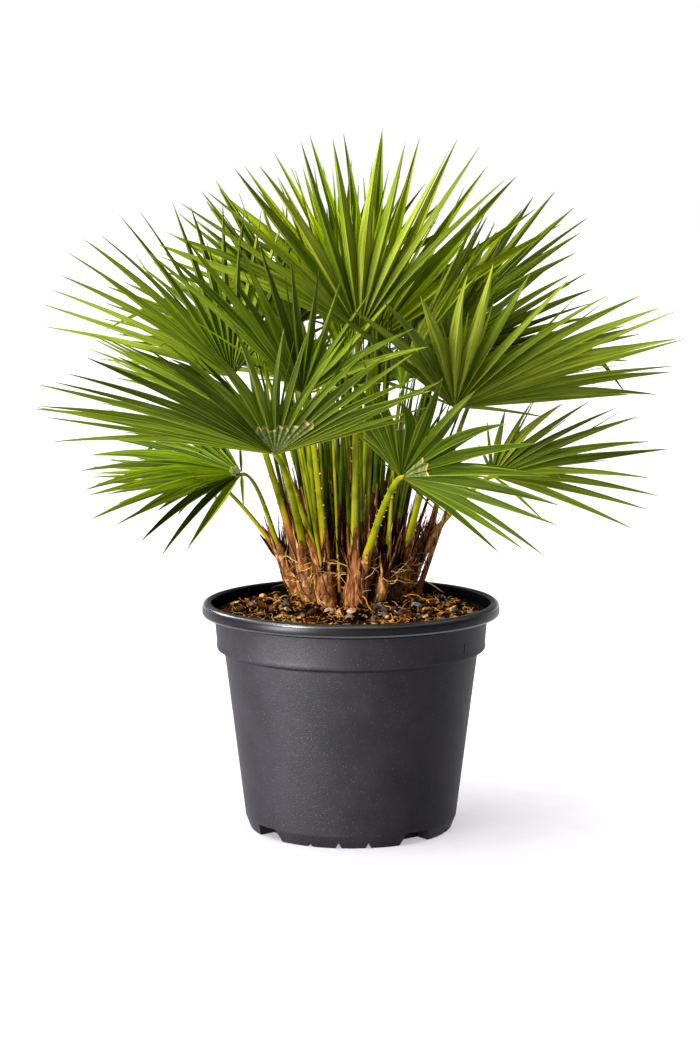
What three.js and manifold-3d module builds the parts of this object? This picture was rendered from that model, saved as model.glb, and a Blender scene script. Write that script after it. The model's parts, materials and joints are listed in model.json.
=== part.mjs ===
// A compact European fan palm in the black nursery pot that it is sold in.
// Millimetres, +Z up. The origin is the middle of the pot's flat underside,
// and the side that is seen in the photograph faces -Y.
import * as THREE from "three";
import { mergeVertices } from "three/addons/utils/BufferGeometryUtils.js";
import Module from "manifold-3d";

const wasm = await Module();
wasm.setup();

// Sizes

const GAP = 0.3;              // clear space between pieces that touch

// Pot: the usual round nursery pot of about 30 cm across the rim.
const POT_HEIGHT = 230.6;
const RIM_RADIUS = 150;
const RIM_INNER = 141;
const RIM_DEPTH = 13;         // height of the rolled lip
const COLLAR_TOP = 138;       // radius just below the lip
const COLLAR_LOW = 135.5;
const COLLAR_STEP = 190;      // height where the collar starts to turn in
const BODY_TOP = 128;         // radius of the body below the collar
const BODY_STEP = 180;
const BODY_LOW = 107;         // radius just above the foot
const FOOT_RADIUS = 102.5;
const FOOT_HEIGHT = 12;
const WALL = 2.6;
const FLOOR_THICK = 4;
const POT_SIDES = 64;
const FOOT_INNER = 84;        // radius of the flat middle of the underside
const FLOOR_INNER = 100.4;    // inside radius at the bottom
const FLOOR_CURVE = 6;        // height of the turn from the wall to the floor
const RIM_ROUND = 4;          // rounding of the lip's outer edge
const RIM_EASE = 2;           // and of its inner edge

// Drain notches round the foot, as angles seen from above.
const NOTCH_TURN = -96.8;     // where the pattern starts, degrees
const WIDE_NOTCH = { count: 4, angle: 22, height: 12.5, top: 0.72 };
const SMALL_NOTCH = { count: 3, angle: 4.6, height: 5.5, top: 0.02, pitch: 16.5 };

// Potting mix.
const SOIL_EDGE = 221;        // height against the pot's wall
const SOIL_MIDDLE = 224;      // height round the stems
const SOIL_MIDDLE_RADIUS = 92;
const SOIL_FLARE = 1.2;       // how far the mix widens with the lip

// Leaf bases: short swollen stems that stand in the mix.
const STEM_SIDES = 8;
const STEM_SWELL = 1.12;      // widest girth against the foot

// Rings of a stem: share of its height, how far its section has gone over from
// the foot's to the top's, and girth.
const STEM_RINGS = [[0, 0, 1], [0.3, 0, STEM_SWELL], [0.6, 0.45, 1], [0.85, 0.9, 1], [1, 1, 1]];

// Leaf stalks.
const STALK_SIDES = 6;
const STALK_STEPS = 7;
const STALK_FOOT = [4.6, 3.2];   // half width and half thickness at the stem
const STALK_TIP = [3.0, 1.9];    // and at the blade
const STALK_UPRIGHT = 0.2;       // how much more upright than straight it starts
const STALK_RUN = [0.35, 0.12];  // shares of its reach that it runs straight on at both ends

// Blades.
const BLADE_THICK = 3.0;      // along the blade's normal, at hub and split
const WAIST_THICK = 0.85;     // thickness at the waist against that
const TIP_DEPTH = 0.3;        // how far the tip lies under the upper side, the same way
const SPLIT = 0.4;            // share of a leaflet that is joined to its neighbours
const WAIST = 0.72;           // share of the length where the taper steepens
const WAIST_WIDTH = 0.64;     // width there against the width at the split
const FOLD = 34;              // slope of a leaflet's two halves, degrees
const FULL_FALL = 100;        // angle from the aim that "fall" is given at, degrees

// The plant

// Stems: foot x, y; top x, y, z; foot radius; top half width and half depth;
// the direction in plan of the top's longer side, degrees.
const STEMS = {
  stem_left:         { foot: [-51, 62], top: [-73, 58, 270], radius: 10.5, cap: [10, 6], long: 100 },
  stem_front_left:   { foot: [-39, 34], top: [-50, 28, 268], radius: 11.0, cap: [10, 6], long: 150 },
  stem_front_second: { foot: [-23, 10], top: [-29, 4, 270], radius: 10.5, cap: [10, 6], long: 160 },
  stem_front_middle: { foot: [4, 2], top: [8, -3, 266], radius: 12.5, cap: [10.5, 6], long: 10 },
  stem_front_fourth: { foot: [26, 16], top: [36, 10, 262], radius: 9.5, cap: [6.5, 6], long: 20 },
  stem_front_right:  { foot: [44, 40], top: [57, 36, 272], radius: 11.0, cap: [10, 6], long: 60 },
  stem_right:        { foot: [53, 72], top: [76, 74, 276], radius: 10.0, cap: [10, 6], long: 80 },
  stem_back_right:   { foot: [34, 88], top: [42, 95, 292], radius: 11.0, cap: [10, 6], long: 140 },
  stem_back_middle:  { foot: [2, 96], top: [2, 106, 290], radius: 11.5, cap: [10, 6], long: 0 },
  stem_back_left:    { foot: [-32, 86], top: [-42, 93, 292], radius: 11.0, cap: [10, 6], long: 40 },
  stem_inner_front:  { foot: [0, 37], top: [0, 34, 306], radius: 11.5, cap: [10, 6], long: 0 },
  stem_inner_right:  { foot: [22, 60], top: [24, 61, 304], radius: 10.5, cap: [6.5, 6], long: 0 },
  stem_inner_left:   { foot: [-24, 58], top: [-26, 59, 304], radius: 10.5, cap: [6.5, 6], long: 0 },
};

// Leaves, in the order in which they take their place: the ones in front come
// first. "seat" is where the stalk stands on its stem's top, along the longer
// side. "hub" is where the blade's leaflets meet. "turn" and "rise" aim the
// blade, in plan and above the horizontal, and "roll" tips it about that aim.
// The leaflets fan out between the two angles of "fan", from the aim, all in
// degrees. "cup" raises them into a cone. "fall" is how much shorter a leaflet
// is at 100 degrees from the aim, and "droop" how far the tips sink, both as
// shares of the length.
const LEAVES = {
  front_left: {
    stem: "stem_front_left", seat: -5, hub: [-72, -140, 394], turn: 246, rise: 19, roll: 10,
    length: 270, fan: [-98, 68], leaflets: 17, cup: 9, fall: 0.48, droop: 0.03,
  },
  front_right: {
    stem: "stem_front_middle", seat: 5, hub: [48, -130, 371], turn: 298, rise: 21, roll: -52,
    length: 188, fan: [-84, 108], leaflets: 17, cup: 7, fall: 0.62, droop: 0.06,
  },
  low_left: {
    stem: "stem_left", seat: -5, hub: [-108, -40, 364], turn: 213, rise: -10, roll: -24,
    length: 162, fan: [-44, 102], leaflets: 14, cup: 3, fall: 0.34, droop: 0.07,
  },
  right: {
    stem: "stem_front_right", seat: -5, hub: [101, -60, 431], turn: 315, rise: 21, roll: -16,
    length: 240, fan: [-78, 82], leaflets: 18, cup: 11, fall: 0.21, droop: 0.02,
  },
  middle_left: {
    stem: "stem_front_second", seat: 4, hub: [-88, -50, 412], turn: 200, rise: 24, roll: 8,
    length: 190, fan: [-55, 55], leaflets: 12, cup: 6, fall: 0.35, droop: 0.03,
  },
  top_front: {
    stem: "stem_front_middle", seat: -5, hub: [8, -26, 503], turn: 278, rise: 38, roll: -3,
    length: 243, fan: [-35, 75], leaflets: 13, cup: 12, fall: 0.22, droop: -0.01,
  },
  left: {
    stem: "stem_front_left", seat: 5, hub: [-119, 0, 457], turn: 203, rise: 40, roll: 50,
    length: 214, fan: [-72, 34], leaflets: 12, cup: 6, fall: 0.38, droop: 0.045,
  },
  inner_left: {
    stem: "stem_front_second", seat: -4, hub: [-48, -51, 443], turn: 231, rise: 36, roll: 2,
    length: 222, fan: [-75, 20], leaflets: 11, cup: 8, fall: 0.28, droop: 0.01,
  },
  inner_right: {
    stem: "stem_front_fourth", seat: 0, hub: [51, 20, 443], turn: 44, rise: 56, roll: -33,
    length: 213, fan: [-60, 60], leaflets: 13, cup: 3, fall: 0.4, droop: 0.045,
  },
  low_right: {
    stem: "stem_right", seat: -5, hub: [145, 60, 350], turn: 3, rise: 0, roll: -46,
    length: 181, fan: [-32, 92], leaflets: 12, cup: 1, fall: 0.42, droop: 0.06,
  },
  top_back: {
    stem: "stem_inner_front", seat: 5, hub: [22, 60, 487], turn: 85, rise: 60, roll: 4,
    length: 236, fan: [-60, 60], leaflets: 13, cup: 6, fall: 0.05, droop: 0.0,
  },
  upper_right: {
    stem: "stem_back_right", seat: 5, hub: [98, 90, 490], turn: 17, rise: 47, roll: 4,
    length: 199, fan: [-66, 46], leaflets: 12, cup: 3, fall: 0.44, droop: 0.06,
  },
  back_right: {
    stem: "stem_back_right", seat: -5, hub: [90, 150, 455], turn: 50, rise: 28, roll: 0,
    length: 200, fan: [-80, 80], leaflets: 16, cup: 8, fall: 0.33, droop: 0.04,
  },
  back_middle: {
    stem: "stem_back_middle", seat: -5, hub: [-5, 175, 432], turn: 92, rise: 8, roll: 0,
    length: 200, fan: [-80, 80], leaflets: 16, cup: 6, fall: 0.33, droop: 0.04,
  },
  back_left: {
    stem: "stem_back_left", seat: 5, hub: [-95, 145, 455], turn: 132, rise: 26, roll: 0,
    length: 200, fan: [-80, 80], leaflets: 16, cup: 8, fall: 0.33, droop: 0.04,
  },
  low_left_back: {
    stem: "stem_left", seat: 5, hub: [-140, 58, 344], turn: 188, rise: 2, roll: -14,
    length: 130, fan: [-70, 85], leaflets: 13, cup: 4, fall: 0.33, droop: 0.05,
  },
  side_right: {
    stem: "stem_right", seat: 5, hub: [140, 120, 445], turn: 30, rise: 14, roll: 0,
    length: 180, fan: [-90, 90], leaflets: 16, cup: 6, fall: 0.33, droop: 0.05,
  },
  upper_back: {
    stem: "stem_back_middle", seat: 5, hub: [-8, 118, 522], turn: 95, rise: 58, roll: 0,
    length: 172, fan: [-75, 75], leaflets: 14, cup: 6, fall: 0.35, droop: 0.02,
  },
  upper_back_left: {
    stem: "stem_back_left", seat: -5, hub: [-52, 125, 505], turn: 122, rise: 36, roll: 0,
    length: 190, fan: [-75, 75], leaflets: 15, cup: 6, fall: 0.35, droop: 0.03,
  },
  upper_left: {
    stem: "stem_inner_left", seat: 0, hub: [-60, 58, 500], turn: 160, rise: 58, roll: 0,
    length: 175, fan: [-70, 70], leaflets: 13, cup: 6, fall: 0.35, droop: 0.03,
  },
  inner_back: {
    stem: "stem_inner_right", seat: 0, hub: [30, 142, 480], turn: 80, rise: 36, roll: 0,
    length: 180, fan: [-60, 60], leaflets: 12, cup: 6, fall: 0.35, droop: 0.02,
  },
  spear: {
    stem: "stem_inner_front", seat: -5, hub: [-6, 44, 470], turn: 100, rise: 86, roll: 0,
    length: 205, fan: [-22, 22], leaflets: 7, cup: 0, fall: 0.3, droop: 0.0,
  },
};

// The dry stalk of an old leaf, which stands in the mix by itself.
const DRY_STALK = { foot: [66, 54], top: [98, 44, 318], radii: [4.2, 2.2] };

// Helpers

const rad = THREE.MathUtils.degToRad;
const vec = (x, y, z) => new THREE.Vector3(x, y, z);

/** Gathers points and triangles, and closes them into a geometry. */
class Shell {
  constructor() {
    this.points = [];
    this.faces = [];
  }
  point(p) {
    this.points.push(p.clone());
    return this.points.length - 1;
  }
  tri(a, b, c) {
    this.faces.push(a, b, c);
  }
  quad(a, b, c, d) {
    this.tri(a, b, c);
    this.tri(a, c, d);
  }
  geometry() {
    const geometry = new THREE.BufferGeometry().setFromPoints(this.points);
    geometry.setIndex(this.faces);
    return geometry;
  }
}

/** The same geometry with its shared points merged and its slivers dropped. */
function welded(geometry) {
  const plain = geometry.clone();
  plain.deleteAttribute("normal");
  plain.deleteAttribute("uv");
  const merged = mergeVertices(plain, 1e-4);
  const kept = [];
  const index = merged.index.array;
  for (let i = 0; i < index.length; i += 3) {
    const [a, b, c] = index.slice(i, i + 3);
    if (a !== b && b !== c && c !== a) {
      kept.push(a, b, c);
    }
  }
  merged.setIndex(kept);
  return merged;
}

/** A closed geometry as a solid that can be cut or joined. */
function solid(geometry) {
  const plain = welded(geometry);
  return new wasm.Manifold(new wasm.Mesh({
    numProp: 3,
    vertProperties: new Float32Array(plain.attributes.position.array),
    triVerts: new Uint32Array(plain.index.array),
  }));
}

/** The other way round: a solid as a geometry. */
function shape(body) {
  const mesh = body.getMesh();
  const geometry = new THREE.BufferGeometry();
  const points = new Float32Array(mesh.vertProperties);
  geometry.setAttribute("position", new THREE.BufferAttribute(points, 3));
  geometry.setIndex(new THREE.BufferAttribute(new Uint32Array(mesh.triVerts), 1));
  return geometry;
}

/** A closed skin over rings of points that follow each other. */
function loft(rings) {
  const shell = new Shell();
  const ids = rings.map((ring) => ring.map((p) => shell.point(p)));
  const n = rings[0].length;
  for (let i = 0; i + 1 < ids.length; i++) {
    for (let j = 0; j < n; j++) {
      const k = (j + 1) % n;
      shell.quad(ids[i][j], ids[i][k], ids[i + 1][k], ids[i + 1][j]);
    }
  }
  const last = ids[ids.length - 1];
  for (let j = 1; j + 1 < n; j++) {
    shell.tri(ids[0][0], ids[0][j + 1], ids[0][j]);
    shell.tri(last[0], last[j], last[j + 1]);
  }
  return shell.geometry();
}

/** An oval of points round a centre. */
function oval(centre, across, along, halfWidth, halfDepth, count) {
  const ring = [];
  for (let j = 0; j < count; j++) {
    const t = (2 * Math.PI * (j + 0.5)) / count;
    ring.push(centre.clone()
      .addScaledVector(across, Math.cos(t) * halfWidth)
      .addScaledVector(along, Math.sin(t) * halfDepth));
  }
  return ring;
}

// Pot and potting mix

function lathe(profile, sides) {
  const points = profile.map(([r, z]) => new THREE.Vector2(r, z));
  const geometry = new THREE.LatheGeometry(points, sides);
  geometry.rotateX(Math.PI / 2);
  return welded(geometry);
}

const LIP = POT_HEIGHT - RIM_DEPTH;        // height of the lip's underside
const FLOOR = FLOOR_THICK + FOOT_HEIGHT;   // height of the floor's upper side

function potGeometry() {
  const profile = [
    [0, 0],
    [FOOT_RADIUS, 0],
    [BODY_LOW, FOOT_HEIGHT],
    [BODY_TOP, BODY_STEP],
    [COLLAR_LOW - WALL, BODY_STEP + WALL],
    [COLLAR_LOW, COLLAR_STEP],
    [COLLAR_TOP, LIP],
    [RIM_RADIUS - RIM_EASE, LIP],
    [RIM_RADIUS, LIP + RIM_ROUND],
    [RIM_RADIUS - RIM_EASE / 4, POT_HEIGHT - RIM_ROUND],
    [RIM_RADIUS - RIM_ROUND, POT_HEIGHT],
    [RIM_INNER + RIM_EASE, POT_HEIGHT],
    [RIM_INNER, POT_HEIGHT - RIM_EASE],
    [COLLAR_TOP - WALL, LIP - FLOOR_CURVE],
    [COLLAR_LOW - WALL, COLLAR_STEP],
    [BODY_TOP - WALL, BODY_STEP],
    [BODY_LOW - WALL, FOOT_HEIGHT + FLOOR_CURVE],
    [FLOOR_INNER, FLOOR],
    [0, FLOOR],
  ];
  let pot = solid(lathe(profile, POT_SIDES));
  for (const cut of notches()) {
    pot = pot.subtract(cut);
  }
  return shape(pot);
}

/** One wedge that reaches in from outside the foot; "top" is its width above, as a share. */
function notch(turn, { angle, height, top }) {
  const half = rad(angle / 2);
  const below = -2;             // starts under the foot, so that the cut is clean
  const ring = (radius) => {
    const w = radius * Math.tan(half);
    return [
      vec(radius, -w, below),
      vec(radius, w, below),
      vec(radius, w * top, height),
      vec(radius, -w * top, height),
    ].map((p) => p.applyAxisAngle(vec(0, 0, 1), rad(turn)));
  };
  return solid(loft([ring(FOOT_INNER), ring(BODY_TOP)]));
}

function* notches() {
  const step = 360 / WIDE_NOTCH.count;
  for (let i = 0; i < WIDE_NOTCH.count; i++) {
    const middle = NOTCH_TURN + i * step;
    yield notch(middle + step / 2, WIDE_NOTCH);
    for (let j = 0; j < SMALL_NOTCH.count; j++) {
      const turn = middle + (j - (SMALL_NOTCH.count - 1) / 2) * SMALL_NOTCH.pitch;
      yield notch(turn, SMALL_NOTCH);
    }
  }
}

/** The mix fills the pot, clear of its wall and floor all over. */
function soilGeometry() {
  const clear = WALL + GAP;
  const collarClear = clear + 0.1;
  return lathe([
    [0, FLOOR + GAP],
    [FLOOR_INNER - GAP, FLOOR + GAP],
    [BODY_LOW - clear, FOOT_HEIGHT + FLOOR_CURVE + GAP],
    [BODY_TOP - clear, BODY_STEP + GAP],
    [COLLAR_LOW - collarClear, COLLAR_STEP + GAP],
    [COLLAR_TOP - collarClear, LIP - FLOOR_CURVE],
    [COLLAR_TOP - clear + SOIL_FLARE, SOIL_EDGE],
    [SOIL_MIDDLE_RADIUS, SOIL_MIDDLE],
    [0, SOIL_MIDDLE],
  ], POT_SIDES);
}

// Stems

function stemGeometry({ foot, top, radius, cap, long }) {
  const base = vec(foot[0], foot[1], SOIL_MIDDLE + GAP);
  const tip = vec(...top);
  const across = vec(Math.cos(rad(long)), Math.sin(rad(long)), 0);
  const along = vec(-across.y, across.x, 0);
  const rings = STEM_RINGS.map(([t, mix, swell]) => {
    const centre = base.clone().lerp(tip, t);
    const a = THREE.MathUtils.lerp(radius, cap[0], mix) * swell;
    const b = THREE.MathUtils.lerp(radius, cap[1], mix) * swell;
    return oval(centre, across, along, a, b, STEM_SIDES);
  });
  return loft(rings);
}

function dryStalkGeometry() {
  const base = vec(...DRY_STALK.foot, SOIL_MIDDLE + GAP);
  const tip = vec(...DRY_STALK.top);
  const rings = [base, tip].map((centre, i) => {
    const radius = DRY_STALK.radii[i];
    return oval(centre, vec(1, 0, 0), vec(0, 1, 0), radius, radius, STALK_SIDES);
  });
  return loft(rings);
}

// Leaves

/** The blade's own directions: a along its middle, n out of its upper side. */
function bladeFrame({ turn, rise, roll }) {
  const t = rad(turn);
  const e = rad(rise);
  const a = vec(Math.cos(e) * Math.cos(t), Math.cos(e) * Math.sin(t), Math.sin(e));
  const n = vec(-Math.sin(e) * Math.cos(t), -Math.sin(e) * Math.sin(t), Math.cos(e));
  n.applyAxisAngle(a, rad(roll));
  return { a, n, s: a.clone().cross(n) };
}

/** Where the stalk ends, so that its end face stays GAP clear of the blade. */
function stalkEnd(leaf, frame) {
  const side = rad(Math.max(-leaf.fan[0], leaf.fan[1], 90));
  const back = (GAP + 0.05 - STALK_TIP[0] * Math.cos(side)) / Math.sin(side);
  return vec(...leaf.hub)
    .addScaledVector(frame.a, -back)
    .addScaledVector(frame.n, -BLADE_THICK / 2);
}

function stalkGeometry(leaf) {
  const stem = STEMS[leaf.stem];
  const frame = bladeFrame(leaf);
  const end = stalkEnd(leaf, frame);
  const long = rad(stem.long);
  const start = vec(...stem.top)
    .add(vec(Math.cos(long), Math.sin(long), 0).multiplyScalar(leaf.seat))
    .add(vec(0, 0, GAP));
  const reach = start.distanceTo(end);
  const lean = end.clone().sub(start).normalize().add(vec(0, 0, STALK_UPRIGHT)).normalize();
  const path = new THREE.CubicBezierCurve3(
    start,
    start.clone().addScaledVector(lean, STALK_RUN[0] * reach),
    end.clone().addScaledVector(frame.a, -STALK_RUN[1] * reach),
    end,
  );
  const rings = [];
  for (let i = 0; i <= STALK_STEPS; i++) {
    const t = i / STALK_STEPS;
    const centre = path.getPoint(t);
    // the foot's end face lies flat on the stem, the other square to the blade
    const along = i === 0 ? vec(0, 0, 1) : i === STALK_STEPS ? frame.a.clone() : path.getTangent(t);
    const across = frame.s.clone().addScaledVector(along, -frame.s.dot(along)).normalize();
    const through = along.clone().cross(across);
    const w = THREE.MathUtils.lerp(STALK_FOOT[0], STALK_TIP[0], t);
    const h = THREE.MathUtils.lerp(STALK_FOOT[1], STALK_TIP[1], t);
    rings.push(oval(centre, across, through, w, h, STALK_SIDES));
  }
  return loft(rings);
}

/** Points of one leaf's blade by leaflet and by share of the length. */
function bladePlan(leaf) {
  const { a, n, s } = bladeFrame(leaf);
  const hub = vec(...leaf.hub);
  const count = leaf.leaflets;
  const [from, to] = leaf.fan.map(rad);
  const half = (to - from) / count / 2;
  const cup = rad(leaf.cup);
  const angleOf = (k) => from + half * (2 * k + 1);
  const lengthOf = (k) => {
    const share = angleOf(k) / rad(FULL_FALL);
    return leaf.length * (1 - leaf.fall * share * share);
  };
  /** A point at distance r along angle f, shifted sideways and lifted off the fold. */
  const at = (f, r, length, sideways, lift) => {
    const d = a.clone().multiplyScalar(Math.cos(f)).addScaledVector(s, Math.sin(f));
    const side = a.clone().multiplyScalar(-Math.sin(f)).addScaledVector(s, Math.cos(f));
    return hub.clone()
      .addScaledVector(d, r * Math.cos(cup))
      .addScaledVector(n, r * Math.sin(cup) + lift)
      .addScaledVector(side, sideways)
      .add(vec(0, 0, (-leaf.droop * r * r) / length));
  };
  const slope = Math.tan(rad(FOLD));
  const splitAt = (k) => SPLIT * lengthOf(Math.min(Math.max(k, 0), count - 1));
  const joint = (k) => {        // between leaflet k - 1 and leaflet k
    const r = (splitAt(k - 1) + splitAt(k)) / 2;
    const l = r / SPLIT;
    return at(angleOf(k) - half, r, l, 0, r * Math.sin(half) * slope);
  };
  const leaflet = (k) => {
    const length = lengthOf(k);
    const w = length * SPLIT * Math.sin(half) * WAIST_WIDTH;
    return {
      middle: at(angleOf(k), splitAt(k), length, 0, 0),
      waist: [-1, 0, 1].map((m) => at(angleOf(k), length * WAIST, length, m * w, Math.abs(m) * w * slope)),
      tip: at(angleOf(k), length, length, 0, 0),
    };
  };
  return { hub, n, count, joint, leaflet };
}

/** The free part of one leaflet by itself, a little oversize. */
function fingerGeometry(plan, k) {
  const { n } = plan;
  const l = plan.leaflet(k);
  const section = (left, middle, right, thick) => {
    const grow = right.clone().sub(left).normalize().multiplyScalar(GAP);
    const a = left.clone().sub(grow);
    const c = right.clone().add(grow);
    const up = n.clone().multiplyScalar(GAP);
    const down = n.clone().multiplyScalar(-thick - GAP);
    return [a.clone().add(down), middle.clone().add(down), c.clone().add(down),
      c.clone().add(up), middle.clone().add(up), a.clone().add(up)];
  };
  const tipSide = l.waist[2].clone().sub(l.waist[0]).normalize().multiplyScalar(GAP);
  const tip = l.tip.clone().add(l.tip.clone().sub(l.waist[1]).normalize().multiplyScalar(GAP));
  return loft([
    section(plan.joint(k), l.middle, plan.joint(k + 1), BLADE_THICK),
    section(l.waist[0], l.waist[1], l.waist[2], BLADE_THICK * WAIST_THICK),
    section(tip.clone().sub(tipSide), tip, tip.clone().add(tipSide), GAP),
  ]);
}

/** The blade: joined leaflets round the hub, then free pointed ones. */
function bladeGeometry(plan, keeps) {
  const { n, count } = plan;
  const shell = new Shell();
  const pair = (p, thick) => [shell.point(p), shell.point(p.clone().addScaledVector(n, -thick))];
  const [hubTop, hubLow] = pair(plan.hub, BLADE_THICK);
  const joints = [];
  for (let k = 0; k <= count; k++) {
    joints.push(pair(plan.joint(k), BLADE_THICK));
  }
  for (let k = 0; k < count; k++) {
    const l = plan.leaflet(k);
    const [leftTop, leftLow] = joints[k];
    const [rightTop, rightLow] = joints[k + 1];
    const [midTop, midLow] = pair(l.middle, BLADE_THICK);
    shell.tri(hubTop, midTop, leftTop);
    shell.tri(hubTop, rightTop, midTop);
    shell.tri(hubLow, leftLow, midLow);
    shell.tri(hubLow, midLow, rightLow);
    if (!keeps[k]) {
      shell.quad(leftTop, midTop, midLow, leftLow);
      shell.quad(midTop, rightTop, rightLow, midLow);
      continue;
    }
    const [a, b, c] = l.waist.map((p) => pair(p, BLADE_THICK * WAIST_THICK));
    const tip = shell.point(l.tip.clone().addScaledVector(n, -BLADE_THICK * TIP_DEPTH));
    shell.quad(leftTop, midTop, b[0], a[0]);
    shell.quad(midTop, rightTop, c[0], b[0]);
    shell.quad(midLow, leftLow, a[1], b[1]);
    shell.quad(rightLow, midLow, b[1], c[1]);
    shell.tri(a[0], b[0], tip);
    shell.tri(b[0], c[0], tip);
    shell.tri(b[1], a[1], tip);
    shell.tri(c[1], b[1], tip);
    shell.quad(leftTop, a[0], a[1], leftLow);
    shell.tri(a[0], tip, a[1]);
    shell.quad(c[0], rightTop, rightLow, c[1]);
    shell.tri(c[1], tip, c[0]);
  }
  shell.quad(hubTop, joints[0][0], joints[0][1], hubLow);
  shell.quad(joints[count][0], hubTop, hubLow, joints[count][1]);
  return shell.geometry();
}

// Assembly

const palm = new THREE.Group();
palm.name = "fan_palm";
const placed = [];      // what a leaflet must not touch

function material(color, roughness, metalness = 0) {
  return new THREE.MeshStandardMaterial({ color, roughness, metalness });
}

function place(owner, geometry) {
  const box = new THREE.Box3().setFromBufferAttribute(geometry.attributes.position);
  placed.push({ owner, box, body: solid(geometry) });
}

function add(name, geometry, look) {
  const mesh = new THREE.Mesh(geometry, look);
  mesh.name = name;
  palm.add(mesh);
}

/** Whether a leaflet stays clear of all that isn't its own leaf's blade. */
function isClear(owner, geometry) {
  const box = new THREE.Box3().setFromBufferAttribute(geometry.attributes.position);
  const body = solid(geometry);
  return placed.every((other) => other.owner === owner || !other.box.intersectsBox(box)
    || body.intersect(other.body).getMesh().triVerts.length === 0);
}

add("pot", potGeometry(), material("#3b383d", 0.55));
add("soil", soilGeometry(), material("#3c2614", 0.95));
for (const [name, stem] of Object.entries(STEMS)) {
  const geometry = stemGeometry(stem);
  place(name, geometry);
  add(name, geometry, material("#7a4d2a", 0.85));
}
place("dry_stalk", dryStalkGeometry());
add("dry_stalk", dryStalkGeometry(), material("#6b4a30", 0.9));
for (const [name, leaf] of Object.entries(LEAVES)) {
  const geometry = stalkGeometry(leaf);
  place(`stalk_${name}`, geometry);
  add(`stalk_${name}`, geometry, material("#7f8f2a", 0.5));
}

// The joined middles of the blades come first, and then the free leaflets: one
// that would touch another leaf, a stalk or a stem is left out.
const plans = Object.entries(LEAVES).map(([name, leaf]) => [name, bladePlan(leaf)]);
for (const [name, plan] of plans) {
  place(name, bladeGeometry(plan, []));
}
for (const [name, plan] of plans) {
  const keeps = [];
  for (let k = 0; k < plan.count; k++) {
    const finger = fingerGeometry(plan, k);
    keeps.push(isClear(name, finger));
    if (keeps[k]) {
      place(name, finger);
    }
  }
  add(`blade_${name}`, bladeGeometry(plan, keeps), material("#54701a", 0.45));
}

export default palm;
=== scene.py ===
# %% [markdown]
# A compact fan palm in the black nursery pot that it is sold in.
# The plant is a clump: thirteen short leaf bases stand close together in the potting mix, and each
# sends up one or two stalks that end in a pleated fan. The frame gives every pot, base, stalk and
# blade as a plain solid at its real place. Here each of them gets its real surface: a turned pot,
# a rough mix of bark and fibre, papery bases, thorny stalks and folded leaflets.
# Lengths in the tables are millimetres, as on a drawing, and MM turns them into Blender's metres.

# %% Load the frame
import json
import math
import random
from math import cos, pi, radians, sin, tan

import bpy
import numpy as np
from mathutils import Matrix, Vector, noise
from mathutils.bvhtree import BVHTree

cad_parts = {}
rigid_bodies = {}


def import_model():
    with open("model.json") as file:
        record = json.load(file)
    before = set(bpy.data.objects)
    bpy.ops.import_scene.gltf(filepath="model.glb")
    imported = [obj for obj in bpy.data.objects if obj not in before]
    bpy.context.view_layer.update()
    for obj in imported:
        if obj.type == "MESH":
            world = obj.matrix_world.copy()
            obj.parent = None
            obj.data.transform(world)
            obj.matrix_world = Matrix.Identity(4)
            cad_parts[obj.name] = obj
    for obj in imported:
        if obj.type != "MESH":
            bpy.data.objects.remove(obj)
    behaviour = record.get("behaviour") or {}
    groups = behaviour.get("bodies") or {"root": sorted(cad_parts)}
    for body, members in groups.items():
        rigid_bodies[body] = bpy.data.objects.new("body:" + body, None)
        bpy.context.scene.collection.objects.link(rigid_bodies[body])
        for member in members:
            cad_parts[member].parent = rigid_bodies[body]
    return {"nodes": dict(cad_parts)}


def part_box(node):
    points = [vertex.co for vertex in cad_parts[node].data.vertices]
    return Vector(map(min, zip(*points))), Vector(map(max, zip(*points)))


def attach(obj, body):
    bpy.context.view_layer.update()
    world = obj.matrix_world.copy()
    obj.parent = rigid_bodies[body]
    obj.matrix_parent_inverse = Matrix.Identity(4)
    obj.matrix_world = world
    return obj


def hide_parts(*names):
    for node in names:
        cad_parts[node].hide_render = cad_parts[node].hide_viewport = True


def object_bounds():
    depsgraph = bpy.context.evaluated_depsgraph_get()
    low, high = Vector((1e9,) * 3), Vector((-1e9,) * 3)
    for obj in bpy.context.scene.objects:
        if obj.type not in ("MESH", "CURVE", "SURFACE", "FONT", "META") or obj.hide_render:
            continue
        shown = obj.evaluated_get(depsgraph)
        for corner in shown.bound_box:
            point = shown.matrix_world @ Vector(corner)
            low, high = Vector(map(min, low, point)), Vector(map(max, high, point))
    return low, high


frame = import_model()
CAD_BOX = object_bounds()
MM = 0.001
UP = Vector((0, 0, 1))
FULL_TURN = 2 * pi
print("nodes in the frame:", len(frame["nodes"]))

# %% [markdown]
# The camera stands a little above the crown's middle, 2.6 metres off, and looks down by somewhat
# under eight degrees. It is made first, so that every later step can be looked at from there.
# The long side of the picture is the sensor's, so the lens follows from the height of the view.

# %% Camera
CAMERA_AT = Vector((-1, -2597, 655)) * MM
CAMERA_PITCH = radians(7.63)
SENSOR = 36.0
PICTURE_HEIGHT = 1050
VIEW_LENGTH = 2606          # distance to the picture plane, in pixels of that height


def put(name, data, location=(0, 0, 0), turn=(0, 0, 0)):
    """Makes an object of some data and puts it into the scene."""
    made = bpy.data.objects.new(name, data)
    made.location = location
    made.rotation_euler = turn
    bpy.context.scene.collection.objects.link(made)
    return made


lens = bpy.data.cameras.new("camera")
lens.sensor_width = SENSOR
lens.lens = SENSOR * VIEW_LENGTH / PICTURE_HEIGHT
bpy.context.scene.camera = put("camera", lens, CAMERA_AT, (pi / 2 - CAMERA_PITCH, 0, 0))
print(f"lens {lens.lens:.1f} mm")

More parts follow.
